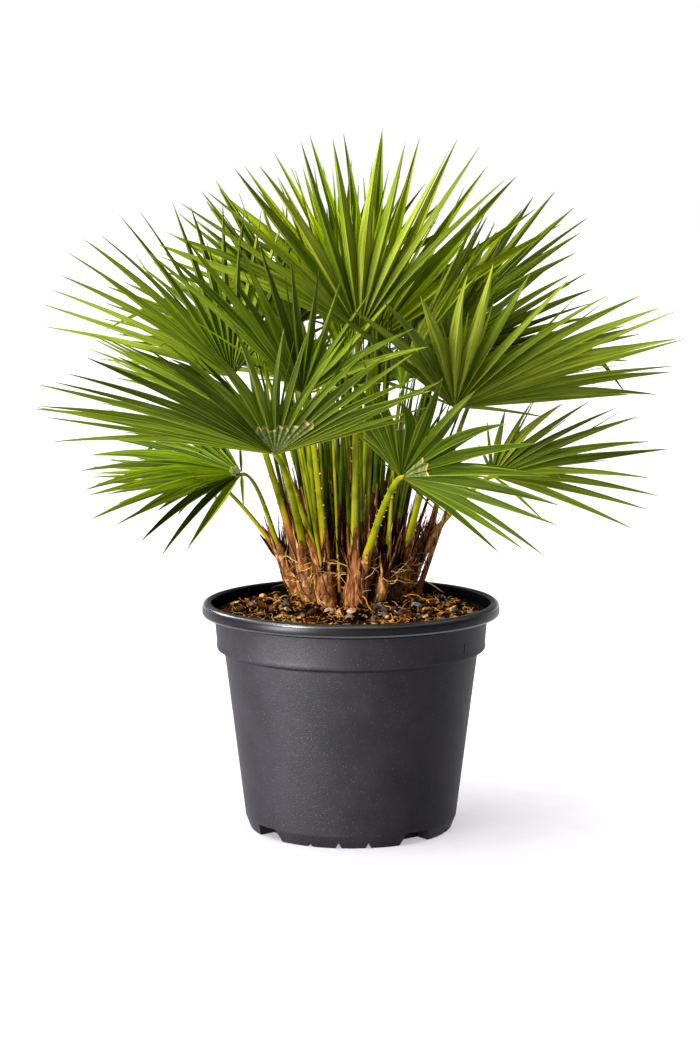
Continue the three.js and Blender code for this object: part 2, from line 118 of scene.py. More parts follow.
# %% [markdown]
# Every finish here is a small tree of shader nodes, so two helpers make them: one adds a node, sets
# its sockets and links them, and one adds a colour ramp. A ramp sorts its stops when one is added,
# so all of them are there before they get their places, and the colours come last.

# %% Shader nodes
def node(tree, kind, values=(), **links):
    """A new shader node, with values for its sockets and links from other nodes' sockets."""
    made = tree.nodes.new("ShaderNode" + kind)
    for socket, value in dict(values).items():
        made.inputs[socket].default_value = value
    for socket, source in links.items():
        tree.links.new(source, made.inputs[socket])
    return made


def colour_ramp(tree, share, stops):
    """The colour of a ramp, given as place and colour of each stop, at a socket's share."""
    ramp = node(tree, "ValToRGB", Fac=share)
    elements = ramp.color_ramp.elements
    while len(elements) < len(stops):
        elements.new(0.5)
    for element, (place, _) in zip(elements, stops):
        element.position = place
    for element, (_, colour) in zip(elements, stops):
        element.color = colour
    return ramp.outputs["Color"]


# %% [markdown]
# The light is a white studio: the world is white near the horizon, which gives the even background,
# dark at middle height, and bright overhead like a wide soft ceiling lamp. A wide soft sun from the
# upper left gives the short soft shadow at the pot's right, and a fill without shadows lifts the
# floor alone to white. The other lights model the plant and the pot and leave the floor out, as if
# they were flagged off it: a narrower sun, a soft box in front on the left, one behind, and a low
# one that reaches in under the crown. The last box lights the pot alone, for the sheen on its side.

# %% Light
WORLD_LIGHT = [
    # height of the direction, from 0 level to 1 straight up, and how bright it is
    (0.0, 1.015), (0.09, 1.015), (0.16, 0.2), (0.5, 0.2), (0.75, 0.9), (1.0, 0.9),
]
SUNS = {
    # where it comes from, strength, how many degrees wide
    "soft_sun": ((-1.1, -0.2, 2.6), 2.4, 70),
    "plant_sun": ((-1.3, -0.5, 2.2), 2.2, 25),
    "floor_fill": ((0.0, 0.0, 1.0), 1.7, 30),
}
LAMPS = {
    # place, height on the plant that it aims at, side in metres, watts
    "key_lamp": ((-1.9, -1.9, 1.3), 0.4, 0.9, 130),
    "rim_lamp": ((-1.6, 1.4, 1.6), 0.4, 0.9, 30),
    "low_lamp": ((-1.35, -1.5, 0.36), 0.3, 0.45, 56),
    "pot_lamp": ((-1.26, -0.98, 0.13), 0.12, 0.5, 95),
}

world = bpy.data.worlds.new("white_room")
world.use_nodes = True
tree = world.node_tree
parts = node(tree, "SeparateXYZ", Vector=node(tree, "TexCoord").outputs["Generated"])
sky = colour_ramp(tree, parts.outputs["Z"], [(h, (b, b * 0.99, b, 1)) for h, b in WORLD_LIGHT])
tree.links.new(sky, tree.nodes["Background"].inputs["Color"])
bpy.context.scene.world = world
bpy.context.scene.view_settings.view_transform = "Standard"

for light_name, (place, strength, spread) in SUNS.items():
    light = bpy.data.lights.new(light_name, "SUN")
    light.energy = strength
    light.angle = radians(spread)
    put(light_name, light, turn=(-Vector(place)).to_track_quat("-Z", "Y").to_euler())
for light_name, (place, aim, side, watts) in LAMPS.items():
    light = bpy.data.lights.new(light_name, "AREA")
    light.size = side
    light.energy = watts
    aim = Vector((0, 0, aim)) - Vector(place)
    put(light_name, light, place, aim.to_track_quat("-Z", "Y").to_euler())

# %% [markdown]
# The floor is one wide disc with a smaller one inset. The plant's lamps leave it out, so that it
# stays an even white with one soft shadow. Starting each step with nothing selected matters here
# and further on, because an operator acts on all that is selected.

# %% Floor
FLOOR_RADIUS = 30.0


def start_fresh(active=None):
    """Leaves edit mode and deselects all, then selects a piece and makes it the active one."""
    if bpy.context.object and bpy.context.object.mode != "OBJECT":
        bpy.ops.object.mode_set(mode="OBJECT")
    bpy.ops.object.select_all(action="DESELECT")
    if active:
        active.select_set(True)
        bpy.context.view_layer.objects.active = active


def choose(light_name, state, piece):
    """Lets a light reach one piece alone, or everything but that piece."""
    receivers = bpy.data.collections.new(light_name)
    receivers.objects.link(piece)
    receivers.collection_objects[0].light_linking.link_state = state
    bpy.data.objects[light_name].light_linking.receiver_collection = receivers


start_fresh()
bpy.ops.mesh.primitive_circle_add(vertices=64, radius=FLOOR_RADIUS, fill_type="NGON")
floor = bpy.context.object
floor.name = "floor"
bpy.ops.object.mode_set(mode="EDIT")
bpy.ops.mesh.inset(thickness=FLOOR_RADIUS * 0.9)
bpy.ops.object.mode_set(mode="OBJECT")
choose("floor_fill", "INCLUDE", floor)
for light_name in ("plant_sun", "key_lamp", "rim_lamp", "low_lamp"):
    choose(light_name, "EXCLUDE", floor)
bpy.data.lights["floor_fill"].use_shadow = False
print("lights:", ", ".join(list(SUNS) + list(LAMPS)))

# %% [markdown]
# Colours are easiest to name as a picture editor does, from 0 to 255, so one helper turns them into
# the linear numbers that Blender's shaders want. Most finishes are mottled: a noise runs through a
# ramp of two to four near colours, and the same noise lifts and sinks the surface a little. A
# stretched noise gives the streaks of bark, husk and leaf.

# %% Paint and mottled finishes
RAMP_START, RAMP_SPREAD = 0.34, 0.32    # the part of a noise's range in which its values lie


def paint(red, green, blue):
    """A colour in the numbers of a picture editor, as linear red, green, blue and alpha."""
    shares = [value / 255 for value in (red, green, blue)]
    linear = [s / 12.92 if s <= 0.04045 else ((s + 0.055) / 1.055) ** 2.4 for s in shares]
    return (*linear, 1.0)


def even_stops(colours):
    """The stops of a ramp through some colours."""
    last = max(1, len(colours) - 1)
    return [(RAMP_START + RAMP_SPREAD * i / last, colour) for i, colour in enumerate(colours)]


def start_finish(name, roughness, shine):
    """A new finish with its node tree and shader."""
    finish = bpy.data.materials.new(name)
    finish.use_nodes = True
    shader = finish.node_tree.nodes["Principled BSDF"]
    shader.inputs["Roughness"].default_value = roughness
    shader.inputs["Specular IOR Level"].default_value = shine
    return finish, finish.node_tree, shader


def add_relief(tree, height, relief):
    """Raises and sinks the surface by a socket's height."""
    bump = node(tree, "Bump", {"Distance": relief, "Strength": 1.0}, Height=height)
    tree.links.new(bump.outputs["Normal"], tree.nodes["Principled BSDF"].inputs["Normal"])


def mottled(name, colours, size, roughness, relief=0.0, stretch=(1, 1, 1), source="Object",
            shine=0.03, grain=None):
    """A finish of near colours in patches of the given size, in metres, with relief to match."""
    finish, tree, shader = start_finish(name, roughness, shine)
    place = node(tree, "TexCoord").outputs[source]
    mapping = node(tree, "Mapping", {"Scale": [s / size for s in stretch]}, Vector=place)
    patches = node(tree, "TexNoise", {"Scale": 1.0, "Detail": 5.0, "Roughness": 0.6},
                   Vector=mapping.outputs["Vector"])
    colour = colour_ramp(tree, patches.outputs["Fac"], even_stops([paint(*c) for c in colours]))
    tree.links.new(colour, shader.inputs["Base Color"])
    if grain:
        patches = node(tree, "TexNoise", {"Scale": 1 / grain, "Detail": 3.0}, Vector=place)
    if relief:
        add_relief(tree, patches.outputs["Fac"], relief)
    return finish


floor.data.materials.append(mottled("floor_white", [(229, 227, 230), (233, 231, 234)], 0.05, 0.8))

# %% [markdown]
# The pot and other round things are turned: one ring of points is added, then extruded up and
# scaled over and over, as a potter pulls up a wall. The rings are given as centre, half width and
# half depth, so the helper also makes the oval, leaning leaf bases further down.

# %% Turning and finishing helpers
def turned(name, rings, sides):
    """A closed shell over rings, each given as x, y, z of its centre, half width and half depth."""
    start_fresh()
    bpy.ops.mesh.primitive_circle_add(vertices=sides, radius=1.0, fill_type="NOTHING")
    piece = bpy.context.object
    piece.name = name
    piece.data.name = name
    bpy.ops.object.mode_set(mode="EDIT")
    x, y, z, wide, deep = rings[0]
    bpy.ops.transform.resize(value=(wide, deep, 1), center_override=(0, 0, 0))
    bpy.ops.transform.translate(value=(x, y, z))
    for ring in rings[1:]:
        step = [ring[i] - (x, y, z)[i] for i in range(3)]
        bpy.ops.mesh.extrude_region_move(TRANSFORM_OT_translate={"value": step})
        bpy.ops.transform.resize(value=(ring[3] / wide, ring[4] / deep, 1), center_override=ring[:3])
        x, y, z, wide, deep = ring
    bpy.ops.mesh.select_all(action="SELECT")
    bpy.ops.mesh.fill_holes(sides=0)
    bpy.ops.mesh.normals_make_consistent(inside=False)
    bpy.ops.object.mode_set(mode="OBJECT")
    return piece


def finish_piece(piece, degrees, finishes, slot, *nodes):
    """Shades a piece smooth up to an angle, gives it finishes and its body, and hides its nodes; slot is
    not used.
    """
    if degrees:
        start_fresh(piece)
        bpy.ops.object.shade_smooth_by_angle(angle=radians(degrees))
    for finish in finishes:
        piece.data.materials.append(finish)
    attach(piece, "root")
    if nodes:
        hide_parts(*nodes)
    print(f"{piece.name}: {len(piece.data.polygons)} faces")


# %% [markdown]
# The pot's height and rim come from the frame. The wall is thin, with a collar that steps out
# under a rolled lip. The lip is rounded by a few close rings rather than by a bevel, so that the
# highlight along it stays even all the way round.

# %% Pot
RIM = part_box("pot")[1].x / MM
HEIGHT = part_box("pot")[1].z / MM
POT_SIDES = 192
FOOT = 102.5
FOOT_STEP = 12
BODY_LOW, BODY_TOP = 107, 128
BODY_STEP = 180
COLLAR_LOW, COLLAR_TOP = 135.5, 138
COLLAR_STEP = 190
LIP = HEIGHT - 13
RIM_INNER = 141
WALL = 2.6
FLOOR_TOP = 16
POT_OUTLINE = [
    # radius and height: the foot
    (84, 0), (FOOT - 0.6, 0), (FOOT, 0.6), (BODY_LOW - 0.4, FOOT_STEP - 0.8),
    # the wall
    (BODY_LOW, FOOT_STEP), (BODY_LOW + 0.2, FOOT_STEP + 1.2), (BODY_TOP - 0.3, BODY_STEP - 1.5),
    (BODY_TOP, BODY_STEP), (BODY_TOP + 1.2, BODY_STEP + 1.2),
    # the collar
    (COLLAR_LOW - 2, BODY_STEP + 2.6), (COLLAR_LOW - 0.4, BODY_STEP + 3.6),
    (COLLAR_LOW + 0.3, BODY_STEP + 5.4), (COLLAR_LOW + 0.1, BODY_STEP + 7.4),
    (COLLAR_LOW, COLLAR_STEP), (COLLAR_TOP - 0.4, LIP - 2.4), (COLLAR_TOP, LIP - 0.6),
    # the rolled lip
    (COLLAR_TOP + 0.8, LIP), (RIM - 2.2, LIP), (RIM - 0.8, LIP + 0.5), (RIM, LIP + 2.2),
    (RIM - 0.1, LIP + 7), (RIM - 0.5, HEIGHT - 3.4), (RIM - 1.6, HEIGHT - 1.4),
    (RIM - 3.4, HEIGHT - 0.3), (RIM - 5, HEIGHT), (RIM_INNER + 1.8, HEIGHT - 0.1),
    (RIM_INNER + 0.6, HEIGHT - 0.7), (RIM_INNER, HEIGHT - 2),
    # the inside, down to the floor
    (RIM_INNER - 1.6, LIP), (COLLAR_TOP - WALL, LIP - 6), (COLLAR_LOW - WALL, COLLAR_STEP),
    (BODY_TOP - WALL, BODY_STEP), (BODY_LOW - WALL, FOOT_STEP + 6), (100.4, FLOOR_TOP),
]
pot = turned("pot_shell", [(0, 0, z * MM, r * MM, r * MM) for r, z in POT_OUTLINE], POT_SIDES)

# %% [markdown]
# Water drains through notches round the foot: four wide ones, and three small pointed ones between
# each pair. A cutter is a cube whose top is narrowed in edit mode. One more cube cuts the short
# moulding mark in the collar. The cutters are joined and taken out with one Boolean modifier.

# %% Drain notches
NOTCH_TURN = -96.8          # where the pattern starts, degrees
NOTCH_IN = 84 * MM          # radius that a notch reaches in to
NOTCH_OUT = 112 * MM
UNDER = 2 * MM              # how far a cutter starts below the floor
WIDE_NOTCH = {"angle": 22, "height": 12.5 * MM, "top": 0.72}
SMALL_NOTCH = {"angle": 4.6, "height": 5.5 * MM, "top": 0.1}
SMALL_PITCH = 16.5
QUARTER = 90
MARK_TURN = radians(-35)
MARK_HEIGHT = 195 * MM
MARK_SIZE = (1.6 * MM, 1 * MM, 12 * MM)


def notch_cutter(turn, angle, height, top):
    """One wedge that reaches in from outside the foot."""
    start_fresh()
    middle = (NOTCH_IN + NOTCH_OUT) / 2
    wide = 2 * middle * tan(radians(angle / 2))
    bpy.ops.mesh.primitive_cube_add(size=1, location=(0, 0, (height - UNDER) / 2))
    cutter = bpy.context.object
    cutter.scale = (NOTCH_OUT - NOTCH_IN, wide, height + UNDER)
    bpy.ops.object.transform_apply(location=True, rotation=False, scale=True)
    points = cutter.data.vertices
    for vertex in points:
        vertex.select = vertex.co.z > height / 2
    for part in (*cutter.data.edges, *cutter.data.polygons):
        part.select = all(points[i].select for i in part.vertices)
    bpy.ops.object.mode_set(mode="EDIT")
    bpy.ops.transform.resize(value=(1, top, 1), center_override=(0, 0, height))
    bpy.ops.object.mode_set(mode="OBJECT")
    turn = radians(turn)
    cutter.location = (middle * cos(turn), middle * sin(turn), 0)
    cutter.rotation_euler = (0, 0, turn)
    bpy.ops.object.transform_apply(location=True, rotation=True, scale=True)
    return cutter


cutters = []
for corner in range(4):
    middle_turn = NOTCH_TURN + corner * QUARTER
    cutters.append(notch_cutter(middle_turn + QUARTER / 2, **WIDE_NOTCH))
    for place in (-1, 0, 1):
        cutters.append(notch_cutter(middle_turn + place * SMALL_PITCH, **SMALL_NOTCH))
start_fresh()
bpy.ops.mesh.primitive_cube_add(size=1, rotation=(0, 0, MARK_TURN))
mark = bpy.context.object
mark_radius = COLLAR_LOW * MM
mark.location = (mark_radius * cos(MARK_TURN), mark_radius * sin(MARK_TURN), MARK_HEIGHT)
mark.scale = MARK_SIZE
cutters.append(mark)
start_fresh(cutters[0])
for cutter in cutters:
    cutter.select_set(True)
bpy.ops.object.join()
cutter = bpy.context.object

start_fresh(pot)
cut = pot.modifiers.new("notches", "BOOLEAN")
cut.operation = "DIFFERENCE"
cut.solver = "EXACT"
cut.object = cutter
bpy.ops.object.modifier_apply(modifier="notches")
bpy.data.objects.remove(cutter)
print("notches:", len(cutters))

# %% [markdown]
# The pot has been handled: its wall is a little out of true, which small moves of the points give.
# The black plastic is a mottled charcoal with a fine grain, and it carries pale specks of dust where
# the cells of a sharp pattern have their middles. The wall's inside is duller, and painted darker as
# the shade inside the pot, and the edges of the lip are polished by handling.

# %% Wear of the pot
OUT_OF_TRUE = 0.5 * MM
DUST = [(0.08, (1, 1, 1, 1)), (0.2, (0, 0, 0, 1))]      # dense in the middle of a cell only
DUST_COLOUR = paint(58, 55, 60)

for vertex in pot.data.vertices:
    flat = Vector((vertex.co.x, vertex.co.y, 0))
    if flat.length < FOOT * MM or vertex.co.z < 1 * MM:
        continue
    wobble = noise.noise(vertex.co * 9.0) * OUT_OF_TRUE
    vertex.co += flat.normalized() * wobble * min(1.0, vertex.co.z / (FOOT_STEP * MM))

plastic = mottled("pot_plastic", [(12, 11, 14), (17, 15, 19), (22, 19, 24)], 0.05, 0.54,
                  relief=0.0003, grain=0.0011, shine=0.16)
tree = plastic.node_tree
base = tree.nodes["Principled BSDF"].inputs["Base Color"]
place = tree.nodes["Texture Coordinate"].outputs["Object"]
specks = node(tree, "TexVoronoi", {"Scale": 300.0}, Vector=place)
dust = colour_ramp(tree, specks.outputs["Distance"], DUST)
patchy = node(tree, "TexNoise", {"Scale": 60.0}, Vector=place)
rare = node(tree, "Math")
rare.operation = "MULTIPLY"
tree.links.new(dust, rare.inputs[0])
tree.links.new(patchy.outputs["Fac"], rare.inputs[1])
mix = node(tree, "Mix")
mix.data_type = "RGBA"
mix.inputs[7].default_value = DUST_COLOUR
tree.links.new(rare.outputs["Value"], mix.inputs[0])
tree.links.new(base.links[0].from_socket, mix.inputs[6])
tree.links.new(mix.outputs[2], base)

pot_finishes = [
    plastic,
    # the inside is painted darker than the outer plastic: painted shade within the wall
    mottled("pot_inside", [(4, 4, 5), (6, 6, 7)], 0.05, 0.4, shine=0.0),
    mottled("pot_rim", [(8, 7, 9), (12, 11, 14)], 0.05, 0.36, shine=0.1),
    mottled("pot_gloss", [(9, 8, 10), (14, 13, 16)], 0.05, 0.25, shine=1.0),
]
for face in pot.data.polygons:
    high = face.center.z / MM
    inward = Vector((face.center.x, face.center.y, 0)).dot(face.normal) < 0
    if (high > HEIGHT - 3 and not inward) or (LIP - 1 < high < LIP + 1.8 and not inward):
        face.material_index = 3
    elif high > HEIGHT - 4 or (high > LIP and not inward):
        face.material_index = 2
    # inward faces above the pot's floor take the darker inside finish, painted shade
    elif inward and high > FLOOR_TOP:
        face.material_index = 1
finish_piece(pot, 32, pot_finishes, "pot", "pot")
choose("pot_lamp", "INCLUDE", pot)

# %% [markdown]
# The plant's own sizes come next, by the same rule as the solids: where each leaf base stands and
# where its top is, and for each leaf the place of its hub, the aim of its blade and the spread of
# its leaflets. Everything that is modelled from here on is worked out from these two tables.

# %% Leaf bases
STEM_COLUMNS = ("foot", "top", "radius", "cap", "long")
STEM_ROWS = {
    # foot x, y; top x, y, z; foot radius; half width of the top; turn of the top's longer side
    "left": ((-51, 62), (-73, 58, 270), 10.5, 10, 100),
    "front_left": ((-39, 34), (-50, 28, 268), 11.0, 10, 150),
    "front_second": ((-23, 10), (-29, 4, 270), 10.5, 10, 160),
    "front_middle": ((4, 2), (8, -3, 266), 12.5, 10.5, 10),
    "front_fourth": ((26, 16), (36, 10, 262), 9.5, 6.5, 20),
    "front_right": ((44, 40), (57, 36, 272), 11.0, 10, 60),
    "right": ((53, 72), (76, 74, 276), 10.0, 10, 80),
    "back_right": ((34, 88), (42, 95, 292), 11.0, 10, 140),
    "back_middle": ((2, 96), (2, 106, 290), 11.5, 10, 0),
    "back_left": ((-32, 86), (-42, 93, 292), 11.0, 10, 40),
    "inner_front": ((0, 37), (0, 34, 306), 11.5, 10, 0),
    "inner_right": ((22, 60), (24, 61, 304), 10.5, 6.5, 0),
    "inner_left": ((-24, 58), (-26, 59, 304), 10.5, 6.5, 0),
}
STEMS = {name: dict(zip(STEM_COLUMNS, row)) for name, row in STEM_ROWS.items()}
CAP_DEPTH = 6               # half depth of every top
STEM_SWELL = 1.12           # widest girth against the foot
BASE_LEVEL = 224.3          # height that a base's share of height is counted from

# %% Leaves
LEAF_COLUMNS = ("stem", "seat", "hub", "turn", "rise", "roll",
                "length", "fan", "leaflets", "cup", "fall", "droop")
LEAF_ROWS = {
    # Which base the stalk stands on and how far off its middle, where the leaflets meet, how the
    # blade is aimed and tipped, the longest leaflet, the fan's two angles from the aim, the number
    # of leaflets, how far they rise into a cone, how much shorter they are at the sides, and how
    # far their tips sink.
    "front_left": ("front_left", -5, (-72, -140, 394), 246, 19, 10, 270, (-98, 68), 17, 9, 0.48, 0.03),
    "front_right": ("front_middle", 5, (48, -130, 371), 298, 21, -52, 188, (-84, 108), 17, 7, 0.62, 0.06),
    "low_left": ("left", -5, (-108, -40, 364), 213, -10, -24, 162, (-44, 102), 14, 3, 0.34, 0.07),
    "right": ("front_right", -5, (101, -60, 431), 315, 21, -16, 240, (-78, 82), 18, 11, 0.21, 0.02),
    "middle_left": ("front_second", 4, (-88, -50, 412), 200, 24, 8, 190, (-55, 55), 12, 6, 0.35, 0.03),
    "top_front": ("front_middle", -5, (8, -26, 503), 278, 38, -3, 243, (-35, 75), 13, 12, 0.22, -0.01),
    "left": ("front_left", 5, (-119, 0, 457), 203, 40, 50, 214, (-72, 34), 12, 6, 0.38, 0.045),
    "inner_left": ("front_second", -4, (-48, -51, 443), 231, 36, 2, 222, (-75, 20), 11, 8, 0.28, 0.01),
    "inner_right": ("front_fourth", 0, (51, 20, 443), 44, 56, -33, 213, (-60, 60), 13, 3, 0.4, 0.045),
    "low_right": ("right", -5, (145, 60, 350), 3, 0, -46, 181, (-32, 92), 12, 1, 0.42, 0.06),
    "top_back": ("inner_front", 5, (22, 60, 487), 85, 60, 4, 236, (-60, 60), 13, 6, 0.05, 0.0),
    "upper_right": ("back_right", 5, (98, 90, 490), 17, 47, 4, 199, (-66, 46), 12, 3, 0.44, 0.06),
    "back_right": ("back_right", -5, (90, 150, 455), 50, 28, 0, 200, (-80, 80), 16, 8, 0.33, 0.04),
    "back_middle": ("back_middle", -5, (-5, 175, 432), 92, 8, 0, 200, (-80, 80), 16, 6, 0.33, 0.04),
    "back_left": ("back_left", 5, (-95, 145, 455), 132, 26, 0, 200, (-80, 80), 16, 8, 0.33, 0.04),
    "low_left_back": ("left", 5, (-140, 58, 344), 188, 2, -14, 130, (-70, 85), 13, 4, 0.33, 0.05),
    "side_right": ("right", 5, (140, 120, 445), 30, 14, 0, 180, (-90, 90), 16, 6, 0.33, 0.05),
    "upper_back": ("back_middle", 5, (-8, 118, 522), 95, 58, 0, 172, (-75, 75), 14, 6, 0.35, 0.02),
    "upper_back_left": ("back_left", -5, (-52, 125, 505), 122, 36, 0, 190, (-75, 75), 15, 6, 0.35, 0.03),
    "upper_left": ("inner_left", 0, (-60, 58, 500), 160, 58, 0, 175, (-70, 70), 13, 6, 0.35, 0.03),
    "inner_back": ("inner_right", 0, (30, 142, 480), 80, 36, 0, 180, (-60, 60), 12, 6, 0.35, 0.02),
    "spear": ("inner_front", -5, (-6, 44, 470), 100, 86, 0, 205, (-22, 22), 7, 0, 0.3, 0.0),
}
LEAVES = {name: dict(zip(LEAF_COLUMNS, row)) for name, row in LEAF_ROWS.items()}
STALK_FOOT = (4.6, 3.2)     # half width and half thickness at the base
STALK_TIP = (3.0, 1.9)      # and at the blade
BLADE_THICK = 3.0           # of the plain solid, which the stalk stops short of
GAP = 0.35
SPLIT = 0.4                 # share of the outermost leaflets that is joined to the web
FULL_FALL = radians(100)
print(len(STEMS), "leaf bases,", len(LEAVES), "leaves")

# %% [markdown]
# Many small things, such as leaflets, bark chips and fibres, are gathered into one mesh for each
# kind. A batch collects points and faces, a finish number for each face, and a place on the
# surface for each point, which the streaks of a leaf follow.

# %% Batches
def circle(sides):
    """Turns that are spaced evenly round a full circle."""
    return [FULL_TURN * j / sides for j in range(sides)]


def steps(count):
    """Shares from 0 to 1 in even steps."""
    return [i / count for i in range(count + 1)]


def flat_way(turn, wide=1, deep=1):
    """The level direction at a turn, or a point of a level oval."""
    return Vector((cos(turn) * wide, sin(turn) * deep, 0))


class Batch:
    """Points, faces, the finish of each face and the surface place of each point."""

    def __init__(self):
        self.points = []
        self.places = []
        self.faces = []
        self.looks = []

    def point(self, place, across=0.0, along=0.0):
        """Adds a point and returns its number."""
        self.points.append(tuple(place))
        self.places.append((across, along))
        return len(self.points) - 1

    def face(self, corners, look):
        """Adds a face with its finish."""
        self.faces.append(tuple(corners))
        self.looks.append(look)

    def tube(self, rings, look, alongs=None):
        """Joins rings of points with quads and closes both ends; look is one finish or a rule."""
        look_of = look if callable(look) else lambda i: look
        alongs = alongs or [0.0] * len(rings)
        ids = [[self.point(p, 0.0, along) for p in ring] for ring, along in zip(rings, alongs)]
        around = len(rings[0])
        for i in range(len(ids) - 1):
            for j in range(around):
                k = (j + 1) % around
                self.face((ids[i][j], ids[i][k], ids[i + 1][k], ids[i + 1][j]), look_of(i))
        self.face(reversed(ids[0]), look_of(0))
        self.face(ids[-1], look_of(len(ids) - 2))

    def sheet(self, grid, thickness, look):
        """A thin closed skin over a grid of points; its thickness goes to the back."""
        rows, columns = len(grid), len(grid[0])
        front, back = [], []
        for i in range(rows):
            for j in range(columns):
                down = grid[min(i + 1, rows - 1)][j] - grid[max(i - 1, 0)][j]
                over = grid[i][min(j + 1, columns - 1)] - grid[i][max(j - 1, 0)]
                outward = over.cross(down)
                outward = outward.normalized() if outward.length > 1e-12 else UP
                front.append(self.point(grid[i][j], j, i))
                back.append(self.point(grid[i][j] - outward * thickness, j, i))
        for i in range(rows - 1):
            for j in range(columns - 1):
                a, b = i * columns + j, i * columns + j + 1
                c, d = a + columns, b + columns
                self.face((front[a], front[b], front[d], front[c]), look)
                self.face((back[a], back[c], back[d], back[b]), look)
        rim = list(range(columns))
        rim += [i * columns + columns - 1 for i in range(1, rows)]
        rim += [(rows - 1) * columns + j for j in range(columns - 2, -1, -1)]
        rim += [i * columns for i in range(rows - 2, 0, -1)]
        for a, b in zip(rim, rim[1:] + rim[:1]):
            self.face((front[b], front[a], back[a], back[b]), look)

    def thread(self, line, radius, look, sides=3):
        """A thin round thread along a line of points, pointed at its far end."""
        rings = []
        last = len(line) - 1
        for i, spot in enumerate(line):
            ahead = line[min(i + 1, last)] - line[max(i - 1, 0)]
            one = ahead.cross(Vector((0.31, 0.17, 0.93))).normalized()
            two = ahead.normalized().cross(one)
            here = radius * (1 - 0.85 * (i / last) ** 2)
            rings.append([spot + one * cos(turn) * here + two * sin(turn) * here
                          for turn in circle(sides)])
        self.tube(rings, look)

    def copies(self, points, faces, matrix, look):
        """Adds one more copy of a small model, moved by a matrix."""
        start = len(self.points)
        for spot in points:
            self.point(matrix @ spot)
        for corners in faces:
            self.face([start + c for c in corners], look)

    def piece(self, name):
        """The batch as one object, with its surface places as a UV map."""
        mesh = bpy.data.meshes.new(name)
        mesh.from_pydata(self.points, [], self.faces)
        mesh.polygons.foreach_set("material_index", self.looks)
        corner_points = np.zeros(len(mesh.loops), np.int32)
        mesh.loops.foreach_get("vertex_index", corner_points)
        places = np.array(self.places, np.float32)[corner_points]
        mesh.uv_layers.new(name="surface").data.foreach_set("uv", places.ravel())
        mesh.update()
        return put(name, mesh)

    def finish(self, name, degrees, finishes, slot):
        """The batch as a finished piece that stands for no node of its own."""
        finish_piece(self.piece(name), degrees, finishes, slot)


def any_turn(chance):
    """A random turn."""
    return chance.uniform(0, FULL_TURN)


def size_in(chance, least, most):
    """A random size between two lengths in millimetres."""
    return chance.uniform(least, most) * MM


def pick(chance, *shares):
    """One of the first numbers from 0 on, each as likely as its share says."""
    return chance.choices(range(len(shares)), shares)[0]


def rough(*place):
    """A smooth random number round 0, which is the same at the same place."""
    return noise.noise(Vector(place))


def between(a, b, share):
    """A value that lies between two others by a share."""
    return a + (b - a) * share


# %% [markdown]
# The potting mix is a turned surface too, drawn in from the pot's wall in close rings, then
# roughened point by point. Its height is a function, so that chips, fibres and stones can be
# laid on it wherever they fall.

# %% Potting mix
SOIL_EDGE, SOIL_MIDDLE = 221 * MM, 224 * MM
SOIL_RADIUS = 136.2 * MM
SOIL_SIDES = 180
SOIL_RINGS = 58
CLUMP = Vector((0, 55, 0)) * MM     # middle of the leaf bases
CLUMP_RADIUS = 70 * MM
MOUND = 2.5 * MM            # how much higher the mix is round the clump
LUMPS = ((32, 2.2), (95, 1.6))      # how close the lumps stand, and their height in mm
SETTLED = 1.5 * MM


def mix_height(x, y):
    """Height of the mix at a place: a low mound round the clump, with lumps and hollows."""
    spot = Vector((x, y, 0))
    out = min(1.0, spot.length / SOIL_RADIUS)
    even = SOIL_MIDDLE + (SOIL_EDGE - SOIL_MIDDLE) * out ** 4
    mound = MOUND * max(0.0, 1 - (spot - CLUMP).length / (CLUMP_RADIUS * 1.5))
    lumps = sum(noise.noise(spot * pace) * high * MM for pace, high in LUMPS)
    return even + mound + lumps * (1 - out ** 8) - SETTLED


def rest_on_mix(line, spare, most=math.inf):
    """Lifts the points of a line out of the mix, and holds them within a height above it."""
    for spot in line:
        lowest = mix_height(spot.x, spot.y) + spare
        spot.z = max(min(spot.z, lowest + most), lowest)


soil_outline = [(100, 16.3), (104, 18.3), (125, 180.3), (132.4, 190.3), (134.8, 211.6)]
soil_outline = [(r * MM, z * MM) for r, z in soil_outline] + [(SOIL_RADIUS, SOIL_EDGE)]
soil_outline += [(SOIL_RADIUS * (1 - t), SOIL_MIDDLE) for t in steps(SOIL_RINGS)[1:-1]]
soil = turned("soil_mix", [(0, 0, z, r, r) for r, z in soil_outline], SOIL_SIDES)
for vertex in soil.data.vertices:
    if vertex.co.z > SOIL_EDGE - 1 * MM:
        vertex.co.z = mix_height(vertex.co.x, vertex.co.y)
MIX = mottled("mix_dark", [(3, 1, 0), (10, 5, 1), (40, 22, 4), (6, 3, 1)], 0.004, 0.95, relief=0.0015)
finish_piece(soil, 60, [MIX], "soil", "soil")

# %% [markdown]
# On top lies what shows from a step away: flakes of bark, crumbs, pale fibres and a few round
# stones. Five flakes and one stone are modelled from cubes and a sphere, and then laid out many
# times, each copy turned, stretched and given one of a few browns or greys.

# %% Bark and crumbs
FLAKE_COUNT = 1200
BIG_SHARE = 0.14
BIG, SMALL = (8, 15), (2.5, 7)      # lengths in mm
OVER_MIX = (-0.5, 1.6)      # height of a flake's middle over the mix, in mm
FLAKE_THICK, FLAKE_WIDE = (0.6, 1.5), (0.5, 1.2)        # against the model's
FREE_OF_WALL = 6 * MM
TILT = 0.42                 # how unevenly the flakes lie, in radians
BARK_COLOURS = {
    # how often it comes, roughness, shine and colours
    "bark_dark": (0.48, 0.9, 0.03, (2, 1, 0), (12, 6, 3)),
    "bark_brown": (0.24, 0.85, 0.03, (26, 12, 3), (78, 42, 10)),
    "bark_red": (0.12, 0.8, 0.03, (70, 34, 8), (132, 74, 22)),
    "bark_tan": (0.1, 0.8, 0.03, (116, 78, 30), (196, 152, 88)),
    "bark_grey": (0.06, 0.7, 0.4, (40, 36, 34), (92, 86, 80)),
}
